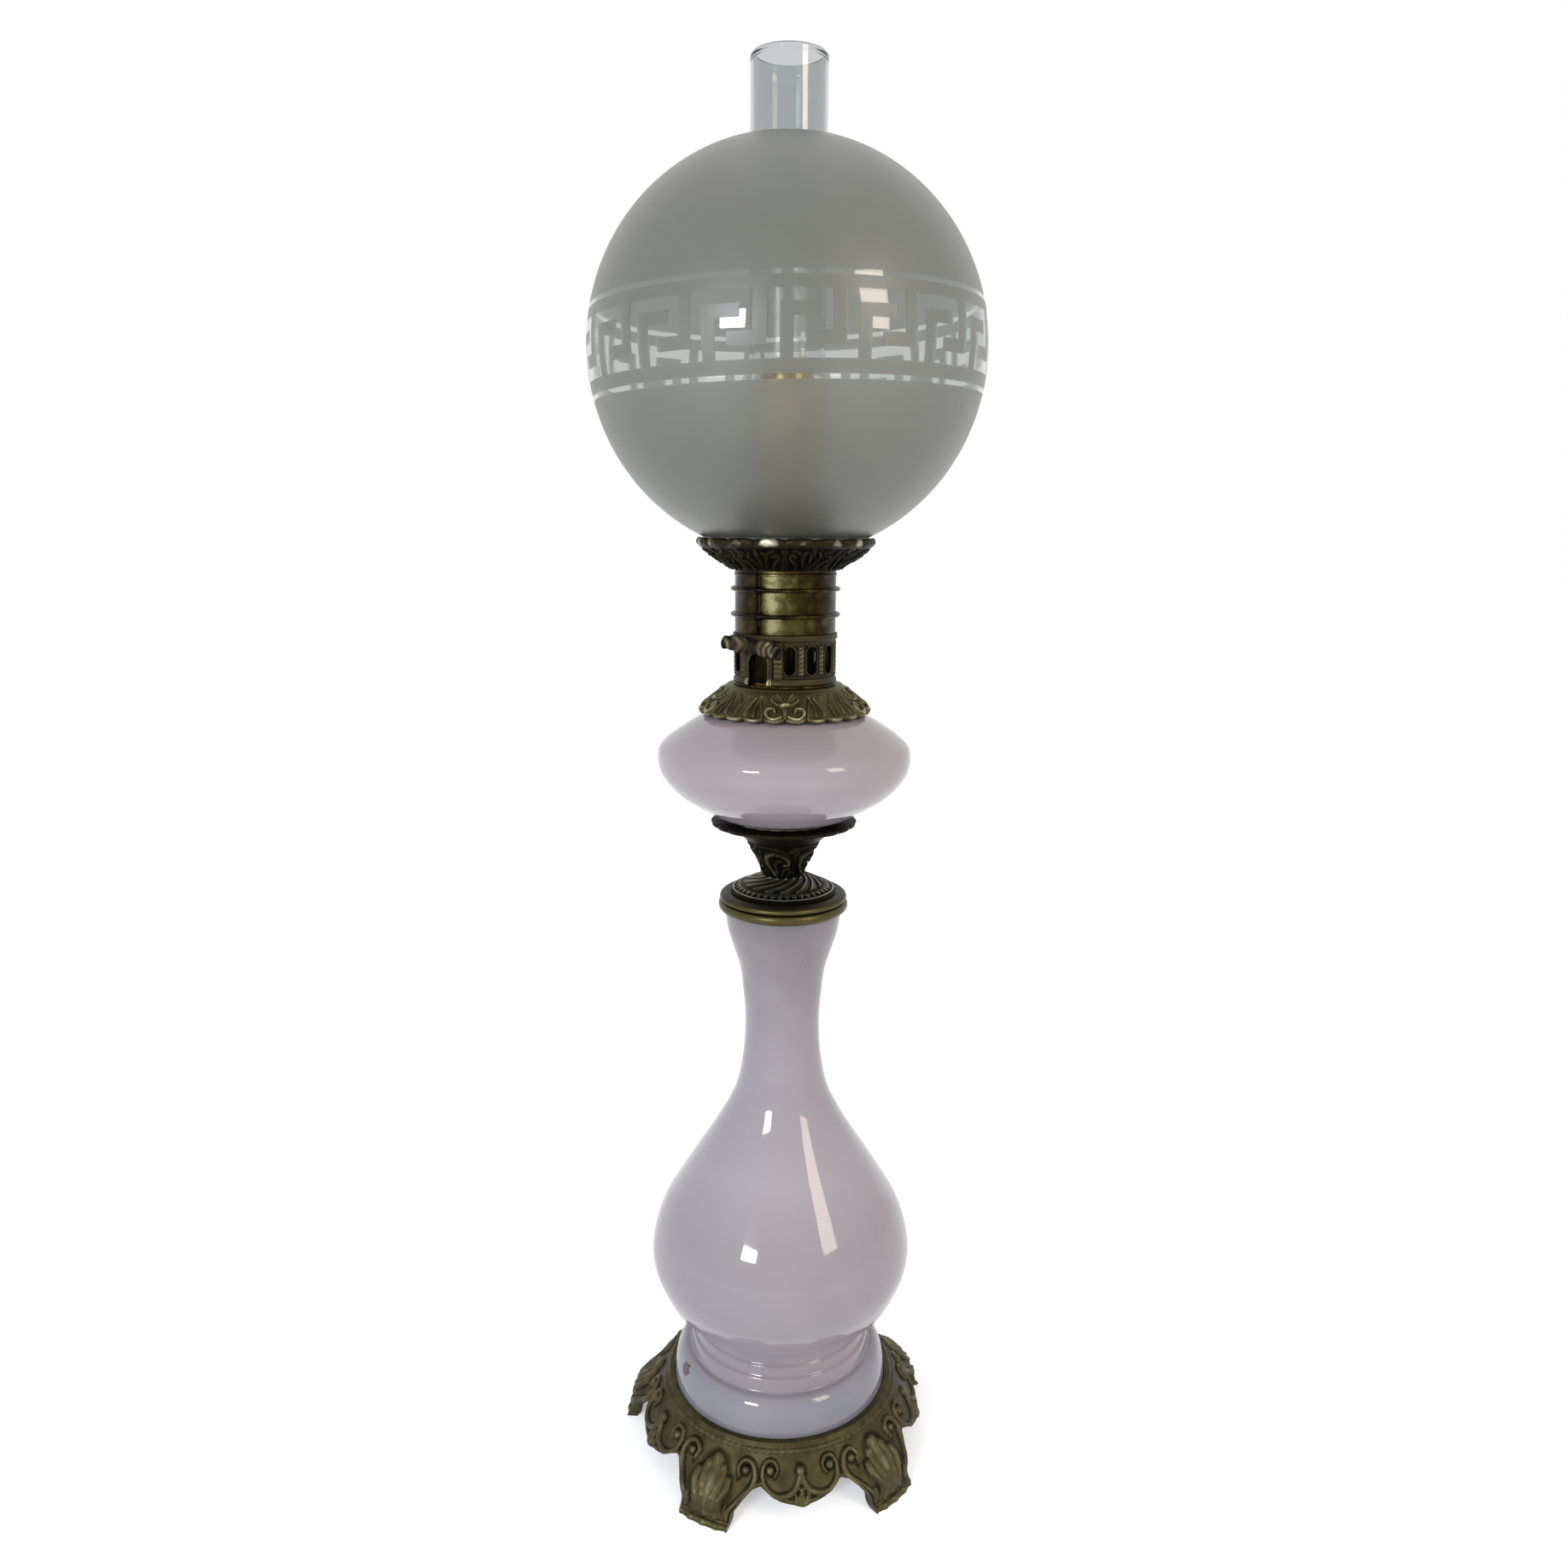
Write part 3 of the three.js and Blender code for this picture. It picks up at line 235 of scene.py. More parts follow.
def strokes_at(x, y, strokes):
    """Relief of raised strokes on a patch. A stroke is (points, half width at start and end, height)."""
    relief = np.zeros_like(x)
    for points, widths, height in strokes:
        line = through(points, 6 * len(points)) if len(points) > 2 else np.asarray(points, float)
        share = np.linspace(0, 1, len(line))
        for (p, q, s0, s1) in zip(line[:-1], line[1:], share[:-1], share[1:]):
            along = q - p
            length = max(along @ along, 1e-9)
            t = np.clip(((x - p[0]) * along[0] + (y - p[1]) * along[1]) / length, 0, 1)
            gap = np.hypot(x - p[0] - t * along[0], y - p[1] - t * along[1])
            half = widths[0] + (widths[1] - widths[0]) * (s0 + (s1 - s0) * t)
            relief = np.maximum(relief, height * rounded(gap, half))
    return relief


def shade(mesh, edge_angle):
    """Smooth shading, with edges sharper than an angle in degrees kept."""
    mesh.shade_smooth()
    mesh.set_sharp_from_angle(angle=math.radians(edge_angle))


def grid_mesh(name, points, wear=None, wraps=(True, True)):
    """Mesh from a grid of points in millimetres, in columns of rows. wraps says whether the columns and the
    rows come round. Columns that don't are capped, and rows that don't end in a point. wear is kept as an
    attribute for the finish."""
    columns, rows = points.shape[:2]
    column = np.arange(columns if wraps[0] else columns - 1)[:, None]
    row = np.arange(rows if wraps[1] else rows - 1)[None, :]
    after, up = (column + 1) % columns, (row + 1) % rows
    faces = np.stack([column * rows + row, after * rows + row, after * rows + up, column * rows + up], -1)
    faces = faces.reshape(-1, 4).tolist()
    if not wraps[0]:
        faces += [list(range(rows))[::-1], list(range((columns - 1) * rows, columns * rows))]
    mesh = bpy.data.meshes.new(name)
    mesh.from_pydata((points.reshape(-1, 3) * MM).tolist(), [], faces)
    if wear is not None:
        kept = mesh.attributes.new("wear", "FLOAT", "POINT")
        kept.data.foreach_set("value", wear.reshape(-1).astype(np.float32))
    work = bmesh.new()
    work.from_mesh(mesh)
    bmesh.ops.remove_doubles(work, verts=work.verts, dist=1e-6)
    bmesh.ops.recalc_face_normals(work, faces=work.faces)
    work.to_mesh(mesh)
    work.free()
    shade(mesh, 50)
    piece = bpy.data.objects.new(name, mesh)
    bpy.context.scene.collection.objects.link(piece)
    return piece


def round_mesh(name, angle, radius, height, wear=None):
    """Closed ring from grids of angle, radius and height. A column is a section, its outside running up."""
    return grid_mesh(name, np.stack([radius * np.sin(angle), -radius * np.cos(angle), height], -1), wear)


def settle(piece, body, slot, material, *nodes):
    """Gives a piece its material, and lets it stand for its CAD nodes on their body. slot is not used."""
    if material is not None:
        piece.data.materials.append(material)
    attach(piece, body)
    if nodes:
        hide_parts(*nodes)


# Aged cast bronze: sand-cast, chased and lacquered long ago. Brown-black in the hollows, olive on the
# flats and yellow metal on the rubbed high spots, with a fine sand grain of about 0.4 mm.
SAND_GRAIN = 0.4 * MM


def finish(tree, pattern, strength, depth, inputs):
    """Ends a material with its surface, which a pattern roughens with a strength and a depth."""
    bump = add_node(tree, "Bump", {"Height": pattern, "Strength": strength, "Distance": depth})
    shader = add_node(tree, "BsdfPrincipled", {**inputs, "Normal": bump})
    add_node(tree, "OutputMaterial", {"Surface": shader})


def cast_bronze(name, hollow, flat, high, rubbed):
    """Bronze whose colour and polish follow the wear attribute. Bright metal starts at the wear rubbed."""
    made, tree = new_material(name)
    wear = add_node(tree, "Attribute", attribute_name="wear").outputs["Fac"]
    place = add_node(tree, "TexCoord").outputs["Object"]
    stain = add_node(tree, "TexNoise", {
        "Vector": place, "Scale": 1 / (9 * MM), "Detail": 5.0, "Roughness": 0.6,
    })
    grain = add_node(tree, "TexNoise", {"Vector": place, "Scale": 1 / SAND_GRAIN, "Detail": 2.0})
    shift = add_node(tree, "Math", {0: stain, 1: 0.55, 2: -0.275}, operation="MULTIPLY_ADD")
    level = add_node(tree, "Math", {0: wear, 1: shift}, operation="ADD", use_clamp=True)
    colour = add_node(tree, "ValToRGB", {"Fac": level}, stops=[
        (0.0, hollow), (0.32, flat), (rubbed, flat), (1.0, high),
    ])
    polish = add_node(tree, "MapRange", {"Value": level, "To Min": 0.62, "To Max": 0.3})
    finish(tree, grain, 0.12, 0.1 * MM, {"Base Color": colour, "Metallic": 0.92, "Roughness": polish})
    return made


foot_bronze = cast_bronze("aged cast bronze, foot", "#0d0b05", "#4c472f", "#9f9a7e", 0.42)

FOOT_COLUMNS, FOOT_ROWS = 720, 84
theta = full_turn(FOOT_COLUMNS)
delta = (theta - FOOT_TURN + SECTOR / 2) % SECTOR - SECTOR / 2
degrees = np.degrees(np.abs(delta))
lower_edge = table_at(EDGE_SHARES, degrees) * FOOT_HEIGHT
leg = 1 - smoothstep(degrees, 0.8 * TOE_ANGLE, 1.7 * TOE_ANGLE)
share_up = np.linspace(0, 1, FOOT_ROWS)[None, :]
height = lower_edge[:, None] + (FOOT_HEIGHT - lower_edge[:, None]) * share_up


def foot_radius(height):
    """The apron's slope, and on a leg the line of its ridge."""
    share = height / FOOT_HEIGHT
    apron = table_at(APRON_SHARES, share)
    return FOOT_REACH * (apron + (table_at(RIDGE_SHARES, share) - apron) * leg[:, None])


radius = foot_radius(height)
step = np.hypot(np.diff(radius, axis=1), np.diff(height, axis=1))
path_down = np.concatenate([np.cumsum(step[:, ::-1], axis=1)[:, ::-1], np.zeros((FOOT_COLUMNS, 1))], axis=1)
side = np.abs(delta)[:, None] * APRON_RADIUS + 0 * height
foot_strokes = [
    ([(36.5, 16.5), (38.2, 12.6), (35.4, 8.8), (31, 9.6), (29, 14.4), (30.8, 20.6), (36.6, 25.2),
      (43.6, 25.2), (48.8, 22.2), (51.4, 17)], (1.1, 1.9), 1.7),
    ([(15.4, 18.6), (14.2, 13.4), (17.8, 9.6), (22.6, 11), (24.8, 16.5), (23.4, 22.4), (19.4, 28),
      (16.2, 34), (14.4, 40), (14.6, 47)], (1.2, 2.6), 1.9),
    ([(33.6, 13.4), (33.7, 13.4)], (2.6, 2.6), 2.4),
    ([(18.6, 14.6), (18.7, 14.6)], (2.4, 2.4), 2.2),
    ([(52.2, 13.6), (52.2, 13.7)], (3.0, 3.0), 2.5),
    ([(52.2, 23), (52.2, 28), (52.2, 33)], (1.6, 2.8), 1.9),
    ([(48.6, 25.5), (49.4, 29), (51.4, 33)], (1.0, 1.8), 1.4),
    ([(0, 17), (0, 24), (0, 33), (0, 41), (0, 48)], (6.4, 13.5), 1.7),
    ([(0, 12.5), (0, 18), (0, 24), (0, 29)], (3.6, 2.2), 2.5),
    ([(4.8, 16.5), (5.6, 21), (4.4, 27), (3.0, 32)], (2.8, 1.6), 2.2),
    ([(9.4, 21.5), (9.6, 26), (7.6, 31), (5.8, 35)], (2.5, 1.4), 2.0),
    ([(0, 34), (0, 40), (0, 48)], (1.2, 2.6), 2.3),
    ([(6.2, 36), (6.4, 42), (7.4, 48)], (1.0, 2.4), 2.1),
    ([(12.6, 34), (12.8, 40), (13.6, 48)], (0.9, 1.7), 1.7),
]
vein_strokes = [
    ([(0, 15), (0, 20), (0, 25)], (0.5, 0.3), 0.6),
    ([(5.2, 20), (4.8, 25), (3.6, 30)], (0.4, 0.3), 0.5),
    ([(51.6, 26), (51.6, 32)], (0.4, 0.7), 0.6),
]


def mirrored(strokes):
    """Strokes on the right of a middle line, and the same on its left."""
    return [([(hand * x, y) for x, y in line], *rest) for hand in (-1, 1) for line, *rest in strokes]


def painted_groove_shade(x, y, strokes, spread=1.6):
    """How deep each place lies in the grooves round the strokes, which are painted darker there as shade."""
    wide = [(points, (widths[0] * spread, widths[1] * spread), 1) for points, widths, _ in strokes]
    core = [(points, widths, 1.4) for points, widths, _ in strokes]
    return np.clip(strokes_at(x, y, wide) - strokes_at(x, y, core), 0, 1)


# Painted shade: the foot is darker in the grooves round its strokes.
foot_groove_shade = painted_groove_shade(side, path_down, foot_strokes)
relief = strokes_at(side, path_down, foot_strokes) - strokes_at(side, path_down, vein_strokes)
path_left = path_down[:, :1] - path_down
edge_bead = 1.1 * rounded(path_left - 1.3, 1.3)
relief *= 1 - 0.75 * bell(path_left - 3.4, 1.1) * leg[:, None]
notched = 0.7 + 0.3 * np.sign(np.sin(LIP_NOTCHES * theta))[:, None]
lip_bead = 0.7 * notched * rounded(path_down - 4.2, 1.3)
relief = np.maximum(relief, np.maximum(edge_bead, lip_bead))
relief *= smoothstep(path_down, 1.2, 3.0)


def leg_angle(height):
    """The leg's sides draw in at the ankle."""
    ankle = bell(height - 9, 5) * leg[:, None]
    return theta[:, None] - delta[:, None] * ANKLE_DRAW * ankle


angle = leg_angle(height)
slope_r, slope_h = np.gradient(radius, axis=1), np.gradient(height, axis=1)
slope = np.hypot(slope_r, slope_h)
outer_radius = radius + relief * slope_h / slope
outer_height = np.clip(height - relief * slope_r / slope, 0, None)
inner_height = lower_edge[:, None] + (PLATE_BOTTOM - lower_edge[:, None]) * np.linspace(1, 0, 9)[None, :]
inner_radius = foot_radius(inner_height) - FOOT_WALL
ones = np.ones((FOOT_COLUMNS, 1))
angle = np.hstack([angle, *[theta[:, None]] * 4, leg_angle(inner_height)])
plain_rows = [
    (LIP_INNER, FOOT_HEIGHT, 0.3), (LIP_INNER, PLATE_TOP, 0.1), (ROD_HOLE, PLATE_TOP, 0.1),
    (ROD_HOLE, PLATE_BOTTOM, 0.2),
]
plain_radius, plain_height, plain_wear = (ones * row for row in np.transpose(plain_rows))
radius = np.hstack([outer_radius, plain_radius, inner_radius])
height = np.hstack([outer_height, plain_height, inner_height])
wear = np.hstack([0.25 + 0.1 * relief - 0.24 * foot_groove_shade, plain_wear, 0.2 + 0 * inner_height])
foot_piece = round_mesh("cast_foot", angle, radius, height, wear)
settle(foot_piece, "stand", "cast_bronze", foot_bronze, "base_casting")

# Foot fasteners and tie rod: a plain steel rod through the whole stem, with a hexagon nut and a washer
# under the foot and a nut in the cup. Turned and cut bar, dull with age.
steel, tree = new_material("dull drawn steel")
place = add_node(tree, "TexCoord").outputs["Object"]
rust = add_node(tree, "TexNoise", {"Vector": place, "Scale": 1 / (3 * MM), "Detail": 6.0})
colour = add_node(tree, "ValToRGB", {"Fac": rust}, stops=[
    (0.35, "#7b776f"), (0.6, "#6a5d4c"), (0.75, "#54402c"),
])
finish(tree, rust, 0.3, 0.1 * MM, {"Base Color": colour, "Metallic": 0.9, "Roughness": 0.5})


def coat(material, *nodes):
    """Gives CAD pieces that keep their own shape their material."""
    for name in nodes:
        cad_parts[name].material_slots[0].material = material


coat(steel, "foot_washer", "foot_nut", "cup_nut", "tie_rod", "key_spindle")


# Vase: mould-blown opaline glass in one piece, with a domed foot, three stepped bands and a long neck.
# The glass is milky all through, thicker and bluer in the foot, and fire-polished outside. Its colour by
# height
# also holds painted light and shade: lighter low on the bulb as a painted reflection of the table, and darker
# towards the neck's top as painted shade under the collar.
def soften(points, reach):
    """A polyline with each corner drawn as a short curve that starts reach before it."""
    points = np.asarray(points, float)
    made = [points[0]]
    for a, b, c in zip(points[:-2], points[1:-1], points[2:]):
        back, on = a - b, c - b
        back *= min(reach / max(np.hypot(*back), 1e-9), 0.45)
        on *= min(reach / max(np.hypot(*on), 1e-9), 0.45)
        made += [b + back * (1 - t) ** 2 + on * t**2 for t in (0, 0.33, 0.67, 1)]
    return np.array(made + [points[-1]])


def ring_grid(outline, turn):
    """Angle, radius, height and path length of an outline swept round the axis through the angles of turn."""
    outline = np.asarray(outline, float)
    angle = turn[:, None] + 0 * outline[:, 0]
    path = np.concatenate([[0], np.cumsum(np.hypot(*np.diff(outline, axis=0).T))])
    return angle, outline[:, 0] + 0 * angle, outline[:, 1] + 0 * angle, path + 0 * angle


def turned(name, outline, columns=128, wear=None):
    """A smooth turned piece from its closed section of (radius, height), its outside running upwards. wear is
    a function of the radius and the height."""
    angle, radius, height, _ = ring_grid(outline, full_turn(columns))
    return round_mesh(name, angle, radius, height, wear(radius, height) if wear else None)


def opaline(name, painted_light_and_shade, milk, specks, mark=(0, 0, -1)):
    """Milky glass. painted_light_and_shade lists its colour by height in millimetres, upwards, with light and
    shade painted in. mark is a worn place.
    """
    low, high = painted_light_and_shade[0][0], painted_light_and_shade[-1][0]
    made, tree = new_material(name)
    place = add_node(tree, "TexCoord").outputs["Object"]
    swirl = add_node(tree, "TexNoise", {
        "Vector": place, "Scale": 1 / (45 * MM), "Detail": 2.0, "Distortion": 0.6,
    })
    height = add_node(tree, "SeparateXYZ", {0: place}).outputs["Z"]
    level = add_node(tree, "MapRange", {"Value": height, "From Min": low * MM, "From Max": high * MM})
    tint = add_node(tree, "ValToRGB", {"Fac": level}, stops=[
        ((place_up - low) / (high - low), colour) for place_up, colour in painted_light_and_shade
    ])
    cloud = add_node(tree, "MapRange", {"Value": swirl, "From Min": 0.35, "From Max": 0.65, "To Max": 0.3})
    cloudy = add_node(tree, "MixRGB", {"Fac": cloud, "Color1": tint, "Color2": milk})
    seeds = add_node(tree, "TexVoronoi", {"Vector": place, "Scale": 1 / (7 * MM)})
    seed = add_node(tree, "Math", {0: seeds, 1: 0.035}, operation="LESS_THAN")
    speck = add_node(tree, "MixRGB", {"Fac": seed, "Color1": cloudy, "Color2": specks})
    away = add_node(tree, "VectorMath", {0: place, 1: mark}, operation="DISTANCE").outputs["Value"]
    scuff = add_node(tree, "TexNoise", {"Vector": place, "Scale": 1 / (2.5 * MM), "Detail": 4.0})
    reach = add_node(tree, "Math", {0: scuff, 1: 10 * MM, 2: -0.2 * MM}, operation="MULTIPLY_ADD")
    worn = add_node(tree, "Math", {0: away, 1: reach}, operation="LESS_THAN")
    body = add_node(tree, "MixRGB", {"Fac": worn, "Color1": speck, "Color2": "#463a2a"})
    finish(tree, swirl, 0.15, 0.4 * MM, {
        "Base Color": body, "Roughness": 0.06, "IOR": 1.5,
        "Subsurface Weight": 0.35, "Subsurface Scale": 4 * MM, "Subsurface Radius": (1.0, 0.75, 0.8),
    })
    return made


VASE_BOTTOM, VASE_TOP, WAIST = 35.5, 324.3, 81.5
RIM, SHOULDER, DISC, BULB = 62.4, 54, 52.4, 74.6
BULB_SHARES = [
    (0.645, -0.002), (0.72, 0.006), (0.842, 0.032), (0.93, 0.075), (0.998, 0.138), (0.984, 0.201),
    (0.912, 0.266), (0.798, 0.327), (0.673, 0.389), (0.544, 0.451), (0.429, 0.512), (0.342, 0.574),
    (0.294, 0.653), (0.281, 0.739), (0.302, 0.822), (0.324, 0.867), (0.371, 0.913), (0.4075, 0.95),
    (0.4235, 0.982), (0.427, 1),
]
VASE_WALL = 3
turn = np.linspace(0, math.pi / 2, 14)
shoulder = np.stack([SHOULDER + (RIM - SHOULDER) * np.cos(turn), 38 + 19.8 * np.sin(turn)], -1)
bands = [(DISC, 58.2), (51.8, 65.6), (50, 66.4), (49.5, 71.6), (48, 72.6), (47.2, 77.6)]
foot_outline = soften(
    [(60.5, VASE_BOTTOM), (RIM, VASE_BOTTOM + 0.4), *shoulder, *bands, (48, WAIST - 0.5)], 2.2
)
bulb = through([(r * BULB, WAIST + h * (VASE_TOP - WAIST)) for r, h in BULB_SHARES], 110)
bulb[-1, 1] = VASE_TOP
inner = through([
    (r * BULB - VASE_WALL, WAIST + VASE_WALL * 0.6 + h * (VASE_TOP - WAIST)) for r, h in BULB_SHARES
], 40)[::-1]
inner = inner[inner[:, 1] < VASE_TOP]
vase_outline = [
    *foot_outline, *bulb, (bulb[-1, 0] - VASE_WALL, VASE_TOP), *inner, (44, 77.5), (44.5, 60.8),
    (51, 54.5), (58.5, 37.5), (58.5, VASE_BOTTOM)
]
# These stops by height are painted light and shade, besides the bluer foot.
vase_glass = opaline("mould-blown opaline glass, vase", [
    (VASE_BOTTOM, "#7c7c83"), (54, "#88888f"), (60, "#8f888b"), (80, "#918a8d"), (83, "#9f999d"),
    (104, "#a19b9f"), (107, "#959093"), (150, "#9b9497"), (180, "#a7a0a4"), (230, "#9a9397"),
    (275, "#8d8689"), (312, "#7f797b"), (VASE_TOP, "#747072"),
], "#a49da1", "#c0bbbe", (-0.0347, -0.0514, 0.054))
vase_piece = turned("opaline_vase", vase_outline, 160)
settle(vase_piece, "stand", "opaline_glass", vase_glass, "vase")

# Neck bush and font cement: plaster lamp cement, cast in place and out of sight. One centres the tie rod
# in the vase's neck, and the other beds the font in the cup.
plaster, tree = new_material("cast lamp cement")
place = add_node(tree, "TexCoord").outputs["Object"]
pores = add_node(tree, "TexNoise", {"Vector": place, "Scale": 1 / (0.8 * MM), "Detail": 4.0})
colour = add_node(tree, "ValToRGB", {"Fac": pores}, stops=[(0.4, "#cdc5b4"), (0.62, "#a89d88")])
finish(tree, pores, 0.5, 0.2 * MM, {"Base Color": colour, "Roughness": 0.9})
coat(plaster, "neck_bush", "font_cement")


# Vase collar: a bronze moulding of two rounds with a groove between, cast and then turned. The tie rod
# clamps it on the vase's mouth, and handling has polished it.
def half_round(wall, reach, low, high, count=10):
    """Outline of a half-round moulding that stands out of a wall between two heights."""
    turn = np.linspace(0, math.pi, count)
    return [(wall + reach * math.sin(t), low + (high - low) * (1 - math.cos(t)) / 2) for t in turn]


STEM_HOLE = 4.4
collar_bronze = cast_bronze("turned bronze, collar", "#0b0903", "#37331d", "#57522f", 0.5)
collar_outline = [
    (STEM_HOLE, 324.6), (31.6, 324.6), *half_round(33.3, 2.3, 324.75, 330.1, 14), (33.2, 330.2),
    *through(
        [(33.6, 330.35), (34.7, 331), (34.9, 331.8), (34.5, 332.9), (33.2, 333.9), (31.4, 334.4)], 16
    ), (STEM_HOLE, 334.4),
]


def collar_rub_and_top_light(radius, height):
    """Dark in the groove and below; the rounds are rubbed, and the top is painted lighter where light falls
    on it.
    """
    return 0.04 + 0.75 * np.maximum(smoothstep(radius, 33.6, 34.8), 0.45 * smoothstep(height, 331.6, 332.6))


collar_piece = turned("stepped_collar", collar_outline, 160, collar_rub_and_top_light)
settle(collar_piece, "stand", "cast_bronze", collar_bronze, "vase_collar")


# Stem dome: cast bronze with swirled flutes that rise to the stem, inside a zigzag band between fine lines.
def dressed_ring(name, angle, radius, height, relief, closing, wear):
    """A ring with its outside given row by row, from low to high, raised by a relief along its normal.
    closing holds the plain rows of (radius, height) that bring the section back to its start."""
    slope_r, slope_h = np.gradient(radius, axis=1), np.gradient(height, axis=1)
    slope = np.maximum(np.hypot(slope_r, slope_h), 1e-6)
    spread = np.ones((len(radius), 1))
    back = np.asarray(closing, float)
    return round_mesh(
        name,
        np.hstack([angle, angle[:, :1] + 0 * spread * back[None, :, 0]]),
        np.hstack([radius + relief * slope_h / slope, spread * back[None, :, 0]]),
        np.hstack([height - relief * slope_r / slope, spread * back[None, :, 1]]),
        np.hstack([wear, 0.3 + 0 * spread * back[None, :, 0]]),
    )


dome_bronze = cast_bronze("aged cast bronze, dome", "#050402", "#2a261a", "#aba895", 0.36)
DOME_LOW, DOME_TOP, DOME_RADIUS = 334.7, 344, 29
DOME_SHARES = [(1, 0), (1, 0.12), (0.9, 0.27), (0.72, 0.52), (0.58, 0.72), (0.43, 0.93), (0.4, 1)]
dome_line = through([(DOME_RADIUS * r, DOME_LOW + (DOME_TOP - DOME_LOW) * h) for r, h in DOME_SHARES], 72)
angle, radius, height, along = ring_grid(dome_line, full_turn(576))
FLUTES, ZIGZAGS, TWIST, FINE_TWIST = 16, 40, 1.5, 1.9
swirl = (FLUTES * (angle + TWIST * np.log(radius / DOME_RADIUS)) / (2 * math.pi)) % 1
flute = np.clip(1.25 - swirl, 0, 1) ** 0.7 * smoothstep(swirl, 0, 0.12)
fine = (2 * FLUTES * (angle + FINE_TWIST * np.log(radius / DOME_RADIUS)) / (2 * math.pi)) % 1
flute = flute * (0.75 + 0.25 * np.sin(math.pi * fine)) * smoothstep(22.6 - radius, 0, 1)
zigzag = np.abs(((ZIGZAGS * angle / (2 * math.pi)) % 1) * 2 - 1)
tooth = smoothstep(zigzag - (radius - 23.6) / 3.2, -0.12, 0.12) * plateau(radius, 23.4, 23.8, 26.6, 27)
line = bell(radius - 23, 0.3) + bell(radius - 27.4, 0.35)
relief = 0.95 * flute + 0.5 * tooth + 0.45 * np.clip(line, 0, 1) - 0.35 * (radius < 27)
dome_inside = [(STEM_HOLE, DOME_TOP), (STEM_HOLE, DOME_LOW)]
dome_wear = 0.02 + 0.95 * np.clip(relief / 0.8, 0, 1) + 0.4 * tooth + 0.45 * np.clip(line, 0, 1)
dome_piece = dressed_ring("swirled_dome", angle, radius, height, relief, dome_inside, dome_wear)
settle(dome_piece, "stand", "cast_bronze", dome_bronze, "stem_dome")

# Leafy cup: cast bronze, a cone of overlapping acanthus leaves that sweep round the stem, under a
# stepped plain rim that holds the font in cement.
cup_line = soften([
    (10.4, 344.3), (11.0, 344.6), (11.3, 345.4), (12.2, 348.5), (13.7, 352), (15.3, 355.6), (17.2, 359),
    (19.3, 362.4), (21.9, 365.5), (25.2, 367.9), (29.5, 369.9), (34.5, 371.7), (38.4, 372.7),
    (39.4, 373.2), (39.6, 374), (39.4, 374.8), (38.8, 375.1), (29, 375.1),
], 0.8)
place_in = np.linspace(0, 1, 96)
steps = np.concatenate([[0], np.cumsum(np.hypot(*np.diff(cup_line, axis=0).T))])
cup_line = np.stack([np.interp(place_in * steps[-1], steps, cup_line[:, i]) for i in (0, 1)], -1)
angle, radius, height, along = ring_grid(cup_line, full_turn(600))
CUP_LEAVES, CUP_SWEEP, CONE_RADIUS = 5, 0.032, 17
sector = 2 * math.pi / CUP_LEAVES
leaf_side = ((angle + CUP_SWEEP * along) % sector - sector / 2) * CONE_RADIUS
leaf_strokes = [
    ([(-6, 2), (-7, 8), (-3.5, 14), (3, 16.5), (7.5, 13.5), (7, 9.5), (3.5, 9)], (1.9, 0.8), 1.5),
    ([(-4, 3), (-2.5, 8), (1.5, 11), (4.5, 11.5)], (1.5, 0.7), 1.2),
    ([(-1.5, 1.5), (1.5, 5), (6.5, 6.5)], (1.3, 0.6), 1.1),
    ([(3.5, 2), (6, 3.6), (9.5, 3.2)], (1.1, 0.6), 0.9),
    ([(-9.5, 17.5), (-5.5, 20), (0, 21.3), (6, 19.8), (9.8, 17)], (1.2, 0.8), 1.1),
    ([(-10, 9), (-8.6, 13.5), (-5.2, 17.6)], (0.9, 1.0), 0.9),
    ([(7.4, 16.5), (9.4, 12), (9.6, 7)], (0.9, 0.6), 0.8),
]
relief = strokes_at(leaf_side, along, leaf_strokes)
cone_share = plateau(along, 0.6, 2, 22, 23.5)
veins = 0.22 * np.sin(leaf_side * 3.4 + along * 1.6) * cone_share
relief = (relief - 0.5) * cone_share + veins
petal = np.abs(np.sin(11 * angle + 0.4)) ** 0.5
radius = radius - 1.0 * (1 - petal) * smoothstep(along, 25, 33)
# The plain rim under the font is painted dark as the font's shade, a little lighter on its petals.
cup_wear_and_rim_shade = np.where(along < 24, 0.04 + 0.45 * np.clip(relief + 0.2, 0, 1.4), 0.14 + 0.2 * petal)
cup_bronze = cast_bronze("aged cast bronze, cup", "#040301", "#1f1b0f", "#857e5c", 0.42)
cup_inside = [
    (27.5, 372.8), (19.4, 372.8), (16.9, 365.5), (8.7, 348.9), (STEM_HOLE, 348.9), (STEM_HOLE, 344.3),
]
cup_piece = dressed_ring("leafy_cup", angle, radius, height, relief, cup_inside, cup_wear_and_rim_shade)
settle(cup_piece, "stand", "cast_bronze", cup_bronze, "font_cup")

# Oil font: a squat vessel of the same opaline glass, a little pinker, free-blown with a soft shoulder.
# It stands in cement in the cup, and its neck holds the female ring of the burner's screw.
FONT_LOW, FONT_TALL, FONT_RADIUS, FONT_WALL = 375.6, 68.4, 67.8, 3
FONT_SHARES = [
    (0.398, 0), (0.457, 0.013), (0.531, 0.035), (0.59, 0.064), (0.678, 0.1155), (0.752, 0.158),
    (0.848, 0.2252), (0.919, 0.298), (0.969, 0.3713), (0.996, 0.4443), (1, 0.519), (0.982, 0.5906),
    (0.907, 0.6633), (0.801, 0.7369), (0.697, 0.8), (0.59, 0.8565), (0.472, 0.897),
]
font_line = through([(FONT_RADIUS * r, FONT_LOW + FONT_TALL * h) for r, h in FONT_SHARES], 90)
